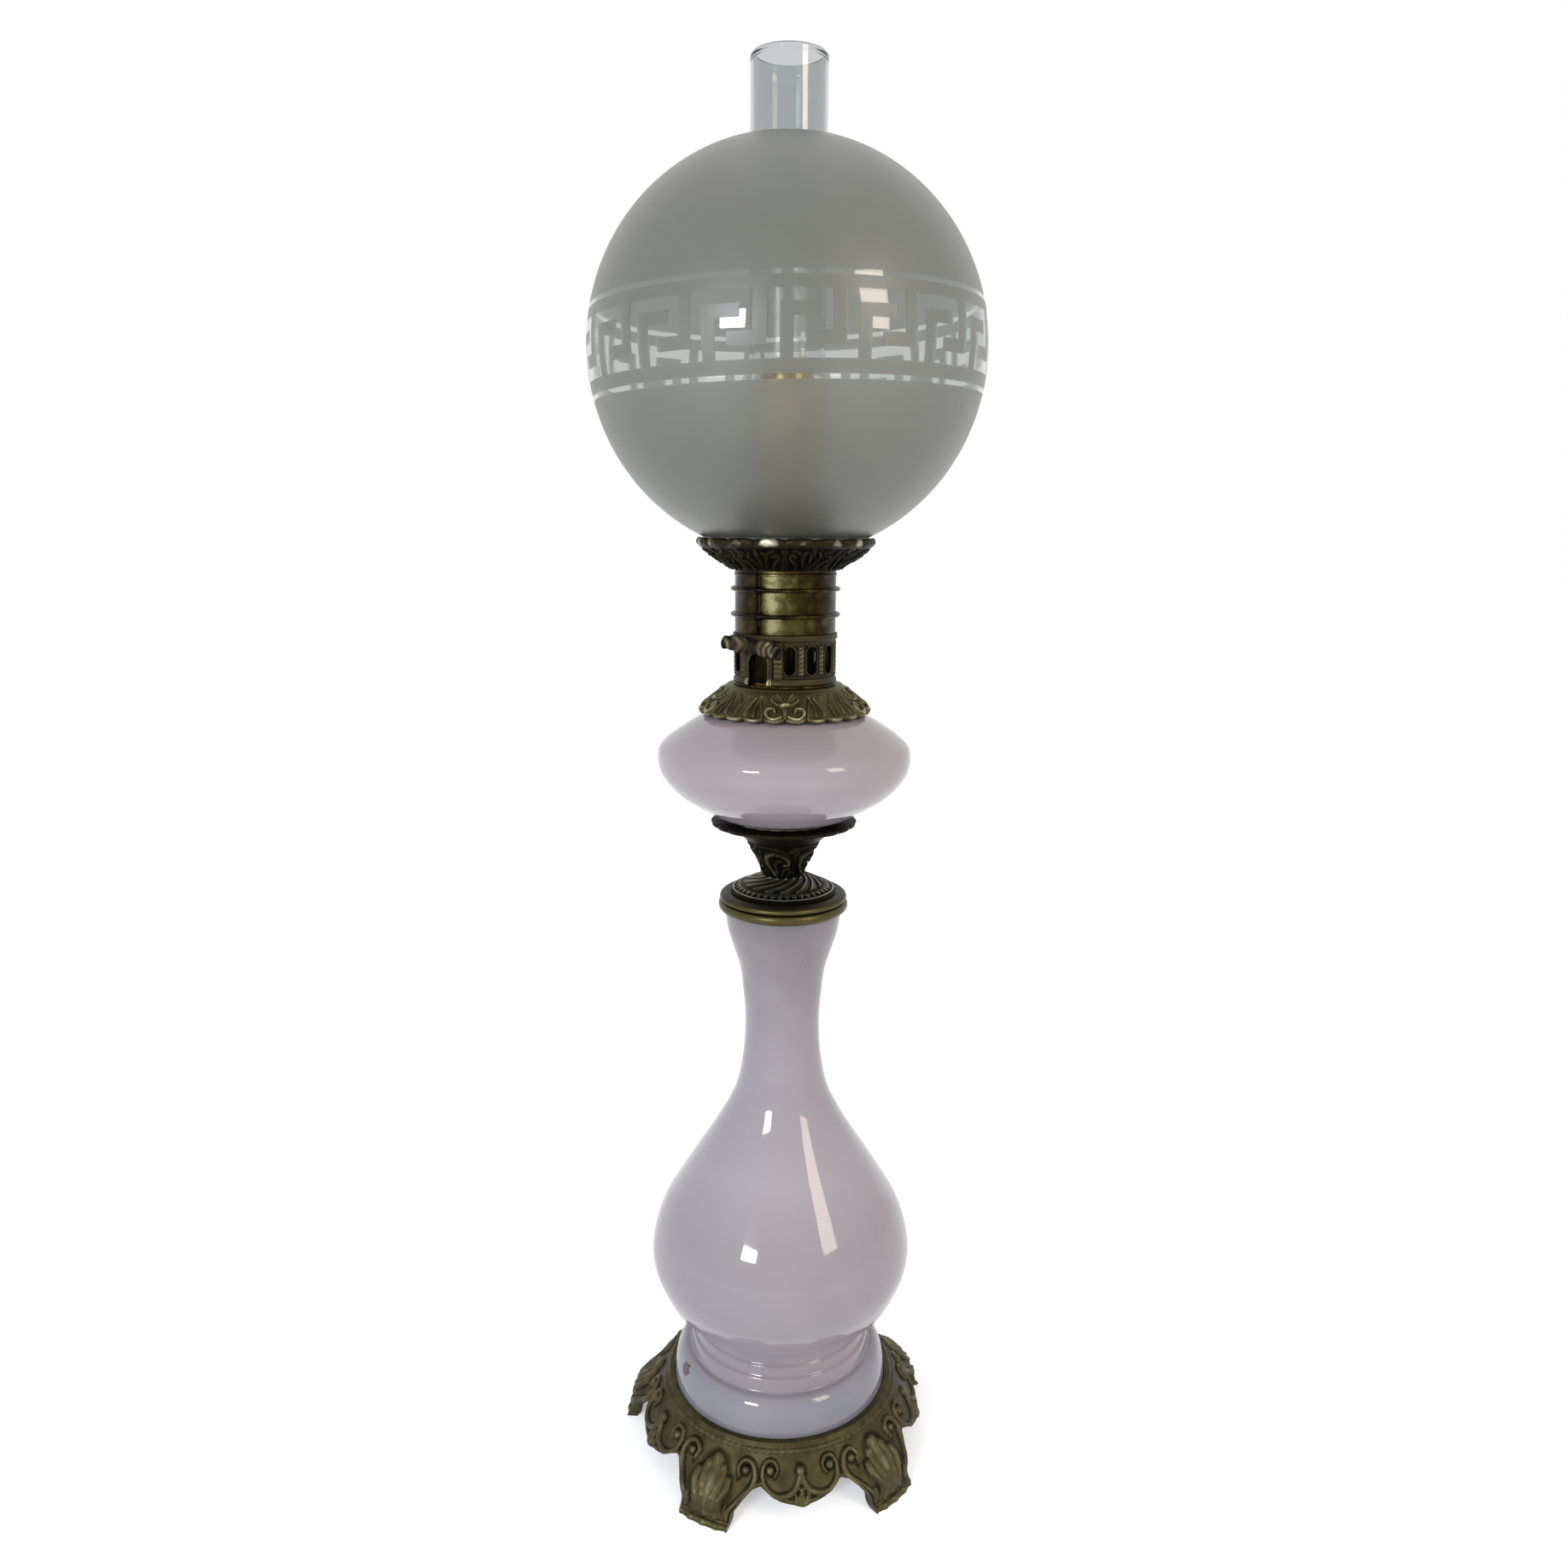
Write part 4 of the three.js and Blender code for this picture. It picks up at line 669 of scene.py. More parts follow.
font_inner = through([
    (FONT_RADIUS * r - FONT_WALL, FONT_LOW + FONT_WALL * (1.2 - 2 * h) + FONT_TALL * h)
    for r, h in FONT_SHARES
], 40)[::-1]
font_outline = [
    (0, FONT_LOW), *font_line, (28.4, 438.6), (27.6, 440.2), (27.5, 443.4), (27, 444), (24.9, 444),
    (24.5, 443.6), (24.5, 435.5),
    *font_inner[1:-1], (24, 378.6), (0, 378.6),
]
# The font's colour by height is painted shade: darker low in the cup and towards its top under the leaf
# collar.
font_glass = opaline("free-blown opaline glass, font", [
    (FONT_LOW, "#8d8588"), (382, "#9a9194"), (396, "#a39a9d"), (402, "#9e9597"), (418, "#a09799"),
    (432, "#9b9192"), (444, "#968c8d"),
], "#a89fa1", "#c4bdbf")
font_piece = turned("opaline_font", font_outline, 160)
settle(font_piece, "stand", "opaline_glass", font_glass, "font")

# Leaf collar: thin bronze casting over the font's shoulder. Five repeats of a flower between two scrolls
# and a fan of three acanthus lobes, with a scalloped rim that is rubbed bright.
LEAF_LOBES, LEAF_RADIUS = 25, 40
FLOWER_AT = math.radians(31.2)
leaf_line = through([
    (44.3, 433.8), (45.2, 434.6), (45.2, 436.2), (42.9, 438.8), (40, 441.2), (37, 443.7), (34.4, 446.1),
    (31.8, 448), (29, 448.9), (27, 448.98),
], 84)
angle, radius, height, along = ring_grid(leaf_line, full_turn(900))
repeat = 2 * math.pi / 5
side = ((angle - FLOWER_AT + repeat / 2) % repeat - repeat / 2) * LEAF_RADIUS
lobe_at = ((angle - FLOWER_AT) * LEAF_LOBES / (2 * math.pi)) % 1
lobe = np.abs(np.sin(math.pi * lobe_at)) ** 0.55
fade = smoothstep(20 - along, 0, 14)
radius = radius - 1.7 * (1 - lobe) * fade * smoothstep(8 - along, 0, 8)
height = height + 1.1 * (1 - lobe) * smoothstep(5 - along, 0, 5)
hollow = -0.75 * np.sin(math.pi * lobe_at) ** 2 * plateau(along, 2.5, 5, 15, 19)
lip = 0.5 * bell(along - 2.0, 1.1) * lobe
rib = 0.35 * bell(lobe_at - 0.5, 0.07) * plateau(along, 3, 7, 15, 19)
bead = 0.5 * bell(along - 22.3, 0.55)
flower_strokes = mirrored([
    ([(2, 4.5), (6, 3.6), (9, 6), (8.6, 9.6), (5.6, 10), (5, 7.8)], (1.2, 0.9), 1.5),
    ([(1.2, 12), (4.5, 13.4), (7.6, 16)], (1.0, 0.8), 1.3),
    ([(0.8, 13), (2.4, 17), (4.6, 19.5)], (0.9, 0.7), 1.0),
    ([(10.5, 3.5), (11.5, 9), (14, 15)], (0.5, 0.8), 0.9),
    ([(17, 17), (19, 12), (19.6, 5)], (0.8, 1.0), 0.9),
    ([(21.5, 18), (24.4, 12), (25.2, 4)], (0.8, 0.9), 0.7),
    ([(14, 18.5), (15.8, 12), (15, 5)], (0.7, 0.8), 0.8),
])
flower_strokes += [
    ([(0, 12.6), (0.1, 12.6)], (1.9, 1.9), 1.9), ([(-1.8, 12.2), (1.9, 12.6)], (1.3, 1.3), 1.7),
    ([(0, 3.2), (0, 9)], (0.8, 1.2), 1.2)
]
relief = strokes_at(side, along, flower_strokes)
relief = np.maximum(relief - 0.2, 0) + hollow + lip + rib + bead
leaf_wear_and_groove_shade = 0.22 + 0.34 * np.clip(relief + 0.35, 0, 1.6) + 0.2 * (1 - smoothstep(along, 1.5, 4)) * lobe
# Painted shade in the grooves round the flower's strokes; darker between the lobes as well.
leaf_wear_and_groove_shade -= 0.2 * painted_groove_shade(side, along, flower_strokes) + 0.16 * (1 - lobe) * fade
leaf_bronze = cast_bronze("aged cast bronze, leaf collar", "#0b0903", "#514c30", "#b3ae8c", 0.5)
leaf_inside = [
    (24.4, 448.98), (24.4, 446.8), (28, 446.8), (32.9, 444.4), (38.2, 439.3), (42, 436), (42.6, 434.6),
]
leaf_piece = dressed_ring("leaf_collar", angle, radius, height, relief, leaf_inside, leaf_wear_and_groove_shade)
settle(leaf_piece, "stand", "cast_bronze", leaf_bronze, "font_collar")


# Burner brass: rolled and drawn sheet, lacquered once and now tarnished to olive, with stains of a few
# millimetres and a 0.7 mm speckle where the lacquer has gone. The draw lines are drawn 0.4 mm apart,
# coarser than they are, so that they show.
def rolled_brass(name, bright, olive, stain, polish, spot=6 * MM):
    """Brass in three tones, darker where the wear attribute says: grime, and on some pieces painted shade and
    painted reflection.
    """
    made, tree = new_material(name)
    place = add_node(tree, "TexCoord").outputs["Object"]
    cloud = add_node(tree, "TexNoise", {
        "Vector": place, "Scale": 1 / spot, "Detail": 5.0, "Roughness": 0.62,
    })
    speckle = add_node(tree, "TexNoise", {"Vector": place, "Scale": 1 / (0.7 * MM), "Detail": 2.0})
    draw = add_node(tree, "Mapping", {"Vector": place, "Scale": (1, 1, 14)})
    lines = add_node(tree, "TexNoise", {"Vector": draw, "Scale": 1 / (6 * MM), "Detail": 3.0})
    mottle = add_node(tree, "Math", {0: speckle, 1: 0.35, 2: -0.175}, operation="MULTIPLY_ADD")
    mottle = add_node(tree, "Math", {0: cloud, 1: mottle}, operation="ADD")
    wear = add_node(tree, "Attribute", attribute_name="wear").outputs["Fac"]
    dirt_and_painted_light = add_node(tree, "Math", {0: mottle, 1: wear}, operation="SUBTRACT")
    colour = add_node(tree, "ValToRGB", {"Fac": dirt_and_painted_light}, stops=[
        (0.0, "#15120a"), (0.2, stain), (0.46, olive), (0.64, bright),
    ])
    dull = add_node(tree, "MapRange", {
        "Value": mottle, "From Min": 0.3, "From Max": 0.7, "To Min": polish + 0.16, "To Max": polish,
    })
    finish(tree, lines, 0.06, 0.1 * MM, {"Base Color": colour, "Metallic": 0.95, "Roughness": dull})
    return made


olive_brass = rolled_brass("tarnished rolled brass", "#8f8854", "#6a6238", "#3d3517", 0.3)
coat(olive_brass, "collar_thread", "burner_thread_ring")
sooty_brass = rolled_brass("sooty brass inside the burner", "#1c180e", "#100d07", "#070502", 0.45)
coat(sooty_brass, "wick_carrier", "wick_rack", "rack_pinion", "rack_guide", "spindle_bearing")

# Burner deck: a ring turned from brass, with a lip under the drum and a low spigot inside it. It lies on
# the leaf collar, held by the screw below, and carries the wick tube.
deck_edge = [(26, 449.28), (27, 449.28), (27, 450.28), (24.7, 450.28), (24.6, 451.78), (23, 451.78)]
deck_outline = [(11, 449.28), *soften(deck_edge, 0.3), (11, 451.78)]
deck_piece = turned("burner_deck_ring", deck_outline, 128, lambda radius, height: 0.3 + 0 * radius)
settle(deck_piece, "burner", "sheet_brass", olive_brass, "burner_deck")


# Wick tube: drawn brass, narrow at the deck and flared to its full bore, with the slot of the wick
# carrier and the hole of the air duct cut in it.
def cut_out(piece, cutters, edge_angle, operation="DIFFERENCE"):
    """Cuts closed meshes from a piece, or joins them to it, and drops them."""
    for cutter in cutters:
        change = piece.modifiers.new("cut", "BOOLEAN")
        change.object = cutter
        change.operation = operation
        change.solver = "MANIFOLD"
    bpy.context.view_layer.update()
    cut = bpy.data.meshes.new_from_object(piece.evaluated_get(bpy.context.evaluated_depsgraph_get()))
    piece.modifiers.clear()
    cut.materials.clear()
    piece.data = cut
    shade(cut, edge_angle)
    for cutter in cutters:
        bpy.data.objects.remove(cutter)


def prism(outline, near, far, turn=0.0):
    """Closed prism from an outline in XZ, between two distances in front of the axis, turned about it."""
    outline = np.asarray(outline, float)
    count = len(outline)
    ends = [np.stack([outline[:, 0], np.full(count, -reach), outline[:, 1]], -1) for reach in (near, far)]
    points = np.concatenate(ends) * MM
    spin = np.array([[math.cos(turn), math.sin(turn), 0], [-math.sin(turn), math.cos(turn), 0], [0, 0, 1]])
    faces = [[i, (i + 1) % count, (i + 1) % count + count, i + count] for i in range(count)]
    mesh = bpy.data.meshes.new("prism")
    mesh.from_pydata(
        (points @ spin).tolist(), [], [list(range(count))[::-1], list(range(count, 2 * count)), *faces]
    )
    work = bmesh.new()
    work.from_mesh(mesh)
    bmesh.ops.recalc_face_normals(work, faces=work.faces)
    work.to_mesh(mesh)
    work.free()
    made = bpy.data.objects.new("prism", mesh)
    bpy.context.scene.collection.objects.link(made)
    return made


def arc_points(x, z, radius, start, end, count=12):
    """Points of an arc round (x, z) between two angles in degrees."""
    turn = np.radians(np.linspace(start, end, count))
    return [(x + radius * math.cos(t), z + radius * math.sin(t)) for t in turn]


TUBE_TOP = 607.28
gilt_brass = rolled_brass("clean drawn brass tube", "#e4d49a", "#c6ad66", "#5a4a22", 0.24, 20 * MM)
tube_outline = [
    (10, 444.3), (10.8, 444.3), (10.8, 484.3), (11.3, 486), (12.9, 490), (13.6, 492.3),
    *soften([(13.6, 500), (13.6, TUBE_TOP), (12.8, TUBE_TOP), (12.8, 500)], 0.3), (12.8, 492.3), (12, 490),
    (10.5, 486), (10, 484.3)
]
# The tube is painted darker below 500 mm, as the shade inside the drum and sleeve.
tube_piece = turned(
    "wick_tube_drawn", tube_outline, 96, lambda radius, height: 0.6 * smoothstep(500 - height, 0, 16)
)
cut_out(tube_piece, [
    prism([(-8.2, 519.6), (-4.2, 519.6), (-4.2, 541), (-8.2, 541)], 8, 16),
    prism(arc_points(0, 514.78, 3.8, 0, 330), 9, 16, math.pi),
], 40)
settle(tube_piece, "burner", "gilt_brass", gilt_brass, "wick_tube")
coat(gilt_brass, "draft_tube")

# Round wick: a tube woven from cotton, cream, charred brown at the burning edge, with ribs 1 mm apart. Its
# carrier grips it between the two tubes. The fibre is drawn 0.3 mm wide, coarser than real, to show.
woven_cotton, tree = new_material("woven cotton wick")
place = add_node(tree, "TexCoord").outputs["Object"]
ribs = add_node(tree, "TexWave", {
    "Vector": place, "Scale": 0.31 / (1.0 * MM), "Distortion": 1.2,
}, bands_direction="Z")
fibre = add_node(tree, "TexNoise", {"Vector": place, "Scale": 1 / (0.3 * MM), "Detail": 3.0})
height = add_node(tree, "SeparateXYZ", {0: place}).outputs["Z"]
char = add_node(tree, "MapRange", {"Value": height, "From Min": 0.6062, "From Max": 0.6085})
yarn = add_node(tree, "MixRGB", {"Fac": fibre, "Color1": "#d8cdb2", "Color2": "#b8aa88"})
burnt = add_node(tree, "MixRGB", {"Fac": char, "Color1": yarn, "Color2": "#2e2418"})
finish(tree, ribs.outputs["Fac"], 0.8, 0.3 * MM, {"Base Color": burnt, "Roughness": 0.95})
coat(woven_cotton, "wick")

# Wick key: a cast bronze thumb-piece like two short leafy wings with rolled tips, on a boss that is fixed
# to the spindle. Dark in the carving.
KEY_LEFT, KEY_RIGHT, KEY_HEIGHT, KEY_FRONT, KEY_ROLL = 19.6, 16.8, 470.78, 31.4, math.radians(6.5)
along_key = np.sin(np.linspace(-math.pi / 2, math.pi / 2, 150))
around = full_turn(72)
share = np.abs(along_key)
half_height = np.interp(
    share, [0, 0.1, 0.2, 0.36, 0.5, 0.62, 0.72, 0.84, 0.93, 0.98, 1],
    [3.1, 3.0, 3.4, 4.3, 4.5, 4.0, 3.5, 3.5, 2.9, 1.6, 0]
)
half_depth = np.interp(share, [0, 0.2, 0.5, 0.72, 0.86, 0.96, 1], [2.3, 1.9, 2.0, 1.6, 2.3, 1.4, 0])
sway = np.interp(share, [0, 0.25, 0.5, 0.75, 0.9, 1], [0, 0.2, 0.4, 0, -0.5, -0.9])
u, phi = along_key[None, :] + 0 * around[:, None], around[:, None] + 0 * along_key[None, :]
veining = np.abs(np.sin(12 * np.abs(u) - 1.7 * np.abs(np.sin(phi)) + 0.9 * np.sin(6 * u + phi)))
carving = 0.4 * veining * plateau(np.abs(u), 0.1, 0.25, 0.7, 0.8)
curl = 0.35 * np.sin(26 * np.abs(u) + 2 * phi) * plateau(np.abs(u), 0.62, 0.74, 0.92, 0.98)
grow = np.minimum(carving + curl, 0.5) * smoothstep(1 - np.abs(u), 0, 0.05)
square = np.abs(np.cos(phi)) ** 0.8 * np.sign(np.cos(phi))
x = np.where(u < 0, KEY_LEFT, KEY_RIGHT) * u
y = -KEY_FRONT + (half_depth[None, :] + 0.6 * grow) * square
z = (half_height[None, :] + grow) * np.sin(phi) + sway[None, :]
cosine, sine = math.cos(KEY_ROLL), math.sin(KEY_ROLL)
key_points = np.stack([x * cosine + z * sine, y, KEY_HEIGHT - x * sine + z * cosine], -1)
key_bronze = cast_bronze("aged cast bronze, key", "#0a0804", "#363120", "#8f896c", 0.45)
key_piece = grid_mesh(
    "leafy_wick_key", key_points, 0.1 + 1.1 * grow + 0.1 * np.cos(phi) ** 2, (True, False)
)
cut_out(key_piece, [prism(arc_points(0, KEY_HEIGHT, 3, 0, 345, 24), 28.3, 32)], 50, "UNION")
settle(key_piece, "key", "cast_bronze", key_bronze, "wick_key")

# Draught drum: cast bronze ring, pierced by twelve tall windows and an arched doorway below the key.
# Roped pillars stand between the windows, with a bead below, a run of scrolls above and a plain plinth.
DRUM_LOW, DRUM_TOP, DRUM_RADIUS, DRUM_INNER = 450.58, 476.28, 26.5, 25
WINDOWS, FIRST_WINDOW, WINDOW_HALF, WINDOW_LOW, WINDOW_TOP = 12, math.radians(36.3), 2.85, 456.28, 470.58
DOOR_HALF, DOOR_TOP, FRAME_WIDTH = 5.5, 467.28, 2.4
pitch = (2 * math.pi - 2 * FIRST_WINDOW) / (WINDOWS - 1)
drum_line = np.array([
    *soften([(26.4, DRUM_LOW), (27.3, DRUM_LOW), (27.3, 452.4), (26.6, 453.6)], 0.7),
    *[(DRUM_RADIUS, z) for z in np.linspace(454, 472.2, 76)],
    *soften([(26.6, 472.6), (27.5, 473.6), (27.5, DRUM_TOP), (26.5, DRUM_TOP)], 0.6),
])
angle, radius, height, along = ring_grid(drum_line, full_turn(1008))
near_angle = (angle + math.pi) % (2 * math.pi) - math.pi
ahead = near_angle * DRUM_RADIUS
pillar = ((angle - FIRST_WINDOW) / pitch + 0.5) % 1 - 0.5
pillar_side = (0.5 - np.abs(pillar)) * np.sign(pillar) * pitch * DRUM_RADIUS
wall = plateau(height, 453.6, 454, 472, 472.4)
rope = 0.75 * rounded(pillar_side, 1.7) * (
    0.55 + 0.45 * np.abs(np.sin(math.pi * (height / 2.3 + pillar_side / 6)))
)
rope *= plateau(height, 455.8, 456.4, 470.5, 471)
past_ends = np.maximum(WINDOW_LOW + WINDOW_HALF - height, height - WINDOW_TOP + WINDOW_HALF)
rim_gap = np.hypot(pillar * pitch * DRUM_RADIUS, np.maximum(past_ends, 0)) - WINDOW_HALF
window_rim = 0.35 * bell(rim_gap - 0.45, 0.35)
bead = 0.5 * np.abs(np.sin(angle * 48)) * bell(height - 454.9, 0.5)
scroll = 0.55 * np.abs(np.sin(angle * 26 + 1.4 * (height - 471))) * bell(height - 471.6, 0.7)
relief = np.maximum.reduce([rope, window_rim, bead, scroll]) * wall
door_gap = np.hypot(ahead, np.maximum(height - (DOOR_TOP - DOOR_HALF), 0)) - DOOR_HALF
in_frame = plateau(door_gap, -1, -0.5, FRAME_WIDTH - 0.3, FRAME_WIDTH)
radial = np.where(
    height > DOOR_TOP - DOOR_HALF, np.arctan2(ahead, height - DOOR_TOP + DOOR_HALF) * 6.5, height
)
frame_relief = in_frame * (
    0.95 - 0.35 * bell(door_gap - FRAME_WIDTH / 2, 0.3) - 0.15 * np.abs(np.sin(radial * 2.2))
)
beside_door = (np.abs(ahead) < 13.6) & (door_gap > FRAME_WIDTH)
stones = 0.4 + 0.6 * np.abs(np.sin(math.pi * (height - 454.2) / 2.6)) ** 0.5
courses = 0.55 * stones * plateau(np.abs(ahead), 8.2, 8.7, 12.8, 13.2)
relief = np.where(beside_door, courses * wall, relief)
relief = np.where(in_frame > 0, frame_relief * smoothstep(472.6 - height, 0, 0.4), relief)
drum_wear = 0.06 + 0.65 * np.clip(relief, 0, 1.2) + 0.3 * (1 - wall) - 0.24 * in_frame
drum_bronze = cast_bronze("aged cast bronze, drum", "#070502", "#3a3520", "#9c9672", 0.4)
drum_inside = [(DRUM_INNER, z) for z in (DRUM_TOP, 468, 458, DRUM_LOW)]
drum_piece = dressed_ring("pierced_drum", angle, radius, height, relief, drum_inside, drum_wear)
window_outline = [
    *arc_points(0, WINDOW_TOP - WINDOW_HALF, WINDOW_HALF, 0, 180),
    *arc_points(0, WINDOW_LOW + WINDOW_HALF, WINDOW_HALF, 180, 360)
]
door_outline = [
    (DOOR_HALF, DRUM_LOW - 1), *arc_points(0, DOOR_TOP - DOOR_HALF, DOOR_HALF, 0, 180, 20),
    (-DOOR_HALF, DRUM_LOW - 1)
]
cut_out(drum_piece, [
    *[prism(window_outline, 23, 29, FIRST_WINDOW + i * pitch) for i in range(WINDOWS)],
    prism(door_outline, 22, 30),
    prism([(2, DOOR_TOP - 1), (2, 472.7), (-2, 472.7), (-2, DOOR_TOP - 1)], 22, 30),
], 50)
settle(drum_piece, "carrier", "cast_bronze", drum_bronze, "draft_drum")

# Split sleeve: a rolled brass tube, open along a slit in front so that it grips the chimney holder, with
# a fine bead near its top. Grime has gathered along the slit. Round the sleeve, painted reflection makes it
# lighter near the front and darker towards the sides, with a painted highlight.
SLEEVE_LOW, SLEEVE_TOP, SLEEVE_OUTER, SLEEVE_INNER, SLIT_HALF = 476.58, 508.28, 26.4, 25.6, 0.6
sleeve_line = np.array([
    (SLEEVE_INNER, SLEEVE_LOW), (SLEEVE_OUTER, SLEEVE_LOW),
    *[(SLEEVE_OUTER, z) for z in np.linspace(477.2, 505.6, 30)],
    *half_round(SLEEVE_OUTER, 0.5, 505.8, 507.2, 7), (SLEEVE_OUTER, 507.5), (SLEEVE_OUTER, SLEEVE_TOP),
    (SLEEVE_INNER, SLEEVE_TOP),
])
start = SLIT_HALF / SLEEVE_OUTER
turn = np.concatenate([
    np.linspace(start, start + 0.2, 24), np.linspace(start + 0.22, 2 * math.pi - start - 0.22, 150),
    np.linspace(2 * math.pi - start - 0.2, 2 * math.pi - start, 24),
])
angle, radius, height, _ = ring_grid(sleeve_line, turn)
from_slit = np.minimum(angle - start, 2 * math.pi - start - angle) * SLEEVE_OUTER
near_ring = bell(height - 485.8, 1.5) + bell(height - 499, 1.5)
grime = 0.75 * np.exp(-from_slit / 0.8) + 0.5 * near_ring * bell(from_slit, 5)
grime += 0.12 * np.exp(-(height - SLEEVE_LOW) / 1.5) + 0.2 * bell(507.4 - height, 0.8)
bearing = np.degrees((angle + math.pi) % (2 * math.pi) - math.pi)
# Painted reflection: lighter round a bearing of 20 degrees, a painted highlight at 13 degrees, darker towards
# the sides.
painted_reflection = 0.32 * (1 - bell(bearing - 20, 22)) - 0.14 * bell(bearing - 13, 7)
grime = grime + painted_reflection * (1 - 0.3 * smoothstep(486 - height, 0, 3))
sleeve_brass = rolled_brass("tarnished rolled brass, sleeve", "#7f7a58", "#4c4727", "#2a2208", 0.26, 7 * MM)
points = np.stack([radius * np.sin(angle), -radius * np.cos(angle), height], -1)
sleeve_piece = grid_mesh("split_sleeve", points, grime, (False, True))
settle(sleeve_piece, "carrier", "sheet_brass", sleeve_brass, "sleeve")

# Clamp rings: two loops of brass wire bent round the sleeve, which squeeze it on the holder. Their ends are
# twisted in front and blackened with solder.
WIRE, RING_RADIUS = 1.1, 27.6
for level, middle in (("lower", 485.78), ("upper", 498.98)):
    turn = full_turn(288)
    from_knot = np.abs((turn + math.pi) % (2 * math.pi) - math.pi) * RING_RADIUS
    knot = bell(from_knot, 2.6)
    section = full_turn(16)
    thick = WIRE * (
        1 + 0.75 * knot[:, None] * (0.75 + 0.25 * np.sin(3 * section[None, :] + from_knot[:, None] * 2.4))
    )
    radius = (
        RING_RADIUS + thick * np.cos(section)[None, :] * (1 - 0.2 * knot[:, None]) + 0.35 * knot[:, None]
    )
    height = middle + thick * np.sin(section)[None, :]
    grime = 0.34 + 0.4 * bell(from_knot, 7)[:, None] + 0 * height
    ring_piece = round_mesh(f"clamp_wire_{level}", turn[:, None] + 0 * height, radius, height, grime)
    settle(ring_piece, "carrier", "sheet_brass", sleeve_brass, f"sleeve_ring_{level}")

# Globe gallery: cast bronze bowl of eighteen leaves on the sleeve. Dark below, with a lipped rim whose
# leaf tips are rubbed to bare metal and carry painted highlights at some bearings. A plain ledge inside
# carries the globe.
GALLERY_LOBES, GALLERY_RADIUS = 18, 37
gallery_line = through([
    (26.6, 508.58), (28, 508.9), (32.2, 511.6), (36, 514), (39.8, 516.4), (43, 518.8), (45.2, 520.8),
    (46.3, 522.8), (46.2, 524.3), (45.2, 525.1), (44.1, 524.4),
], 90)
angle, radius, height, along = ring_grid(gallery_line, full_turn(900))
lobe_at = (angle * GALLERY_LOBES / (2 * math.pi) + 0.5) % 1
lobe = np.abs(np.sin(math.pi * lobe_at)) ** 0.6
grow = smoothstep(along, 4, 20)
radius = radius - 1.4 * (1 - lobe) * grow
height = height - 0.9 * (1 - lobe) * smoothstep(along, 19, 24)
repeat = 2 * math.pi / 9
side = ((angle + repeat / 4) % repeat - repeat / 2) * GALLERY_RADIUS
gallery_strokes = mirrored([
    ([(1.6, 3), (3.4, 9), (4.4, 15), (3.0, 18)], (0.9, 0.8), 1.0),
    ([(6.2, 2.5), (7.6, 8), (10.4, 12.4), (9.6, 15.6), (7.4, 14.6)], (0.9, 0.7), 1.1),
    ([(12, 3), (12.4, 10), (12.6, 19)], (0.8, 1.1), 0.9),
    ([(6, 17.5), (8.4, 19.5)], (1.0, 1.0), 0.9),
])
gallery_strokes += [([(0, 3), (0, 12), (0, 20)], (0.7, 1.3), 1.1)]
relief = strokes_at(side, along, gallery_strokes) * plateau(along, 1.5, 3, 21.5, 22.5)
ripple = 0.25 * np.sin(side * 2.6 + along * 0.7) * plateau(along, 3, 6, 17, 20)
lip = 0.5 * bell(along - 24.3, 1.1) * lobe * (0.65 + 0.35 * np.sin(54 * angle))
relief = relief - 0.45 * plateau(along, 2, 4, 20, 22) + ripple + lip
# Painted highlights: bright spots on the rim's leaf tips at some bearings.
painted_glints = 0.5 + 0.5 * np.sin(5 * angle - 0.18) * np.cos(11 * angle + 2.43)
gallery_wear_and_glints = (
    0.03 + 0.3 * np.clip(relief + 0.35, 0, 1.5) + smoothstep(along, 20.5, 24)
    * (0.12 + 0.75 * lobe * painted_glints**2)
)
gallery_bronze = cast_bronze("aged cast bronze, gallery", "#060401", "#282316", "#c9c4a8", 0.55)
gallery_inside = [
    (43.2, 522), (43.2, 520.98), (30, 520.98), (30, 519.58), (38.6, 518.6), (32.4, 513.3),
    (25.6, 509.98), (25.6, 508.58),
]
gallery_piece = dressed_ring("leaf_gallery", angle, radius, height, relief, gallery_inside, gallery_wear_and_glints)
settle(gallery_piece, "carrier", "cast_bronze", gallery_bronze, "globe_gallery")

# Chimney holder: a drawn brass tube that slides in the split sleeve, with a ledge that the chimney stands
# on and eight spring fingers, sawn from above, that hold its base.
holder_outline = [
    (24.5, 480.98), (25.3, 480.98), *soften(
        [(25.3, 530), (25.3, 548.28), (24.5, 548.28), (24.5, 530)], 0.3
    ),
    (24.5, 521.28), (22.3, 521.28), (22.3, 519.28), (24.5, 519.28),
]
holder_piece = turned("spring_fingers", holder_outline, 120)
finger_gap = [(-2.5, 523.28), (2.5, 523.28), (2.5, 550), (-2.5, 550)]
cut_out(holder_piece, [prism(finger_gap, 20, 27, i * math.pi / 4) for i in range(8)], 40)
settle(holder_piece, "holder", "sheet_brass", olive_brass, "chimney_holder")

# Chimney: drawn clear glass, a wide base that draws in to a straight stack, with a fire-polished rim.
# Use has left a thin grey film of smoke near its mouth.
CHIMNEY_WALL = 1.6
clear_glass, tree = new_material("drawn clear glass")
place = add_node(tree, "TexCoord").outputs["Object"]
draw = add_node(tree, "Mapping", {"Vector": place, "Scale": (1, 1, 0.15)})
cords = add_node(tree, "TexNoise", {"Vector": draw, "Scale": 1 / (7 * MM), "Detail": 1.0})
height = add_node(tree, "SeparateXYZ", {0: place}).outputs["Z"]
smoked = add_node(tree, "MapRange", {"Value": height, "From Min": 0.68, "From Max": 0.715})
film = add_node(tree, "MixRGB", {"Fac": smoked, "Color1": "#f2f4f3", "Color2": "#c6caca"})
finish(tree, cords, 0.25, 0.2 * MM, {
    "Base Color": film, "Roughness": 0.0, "IOR": 1.5, "Transmission Weight": 1.0,
})
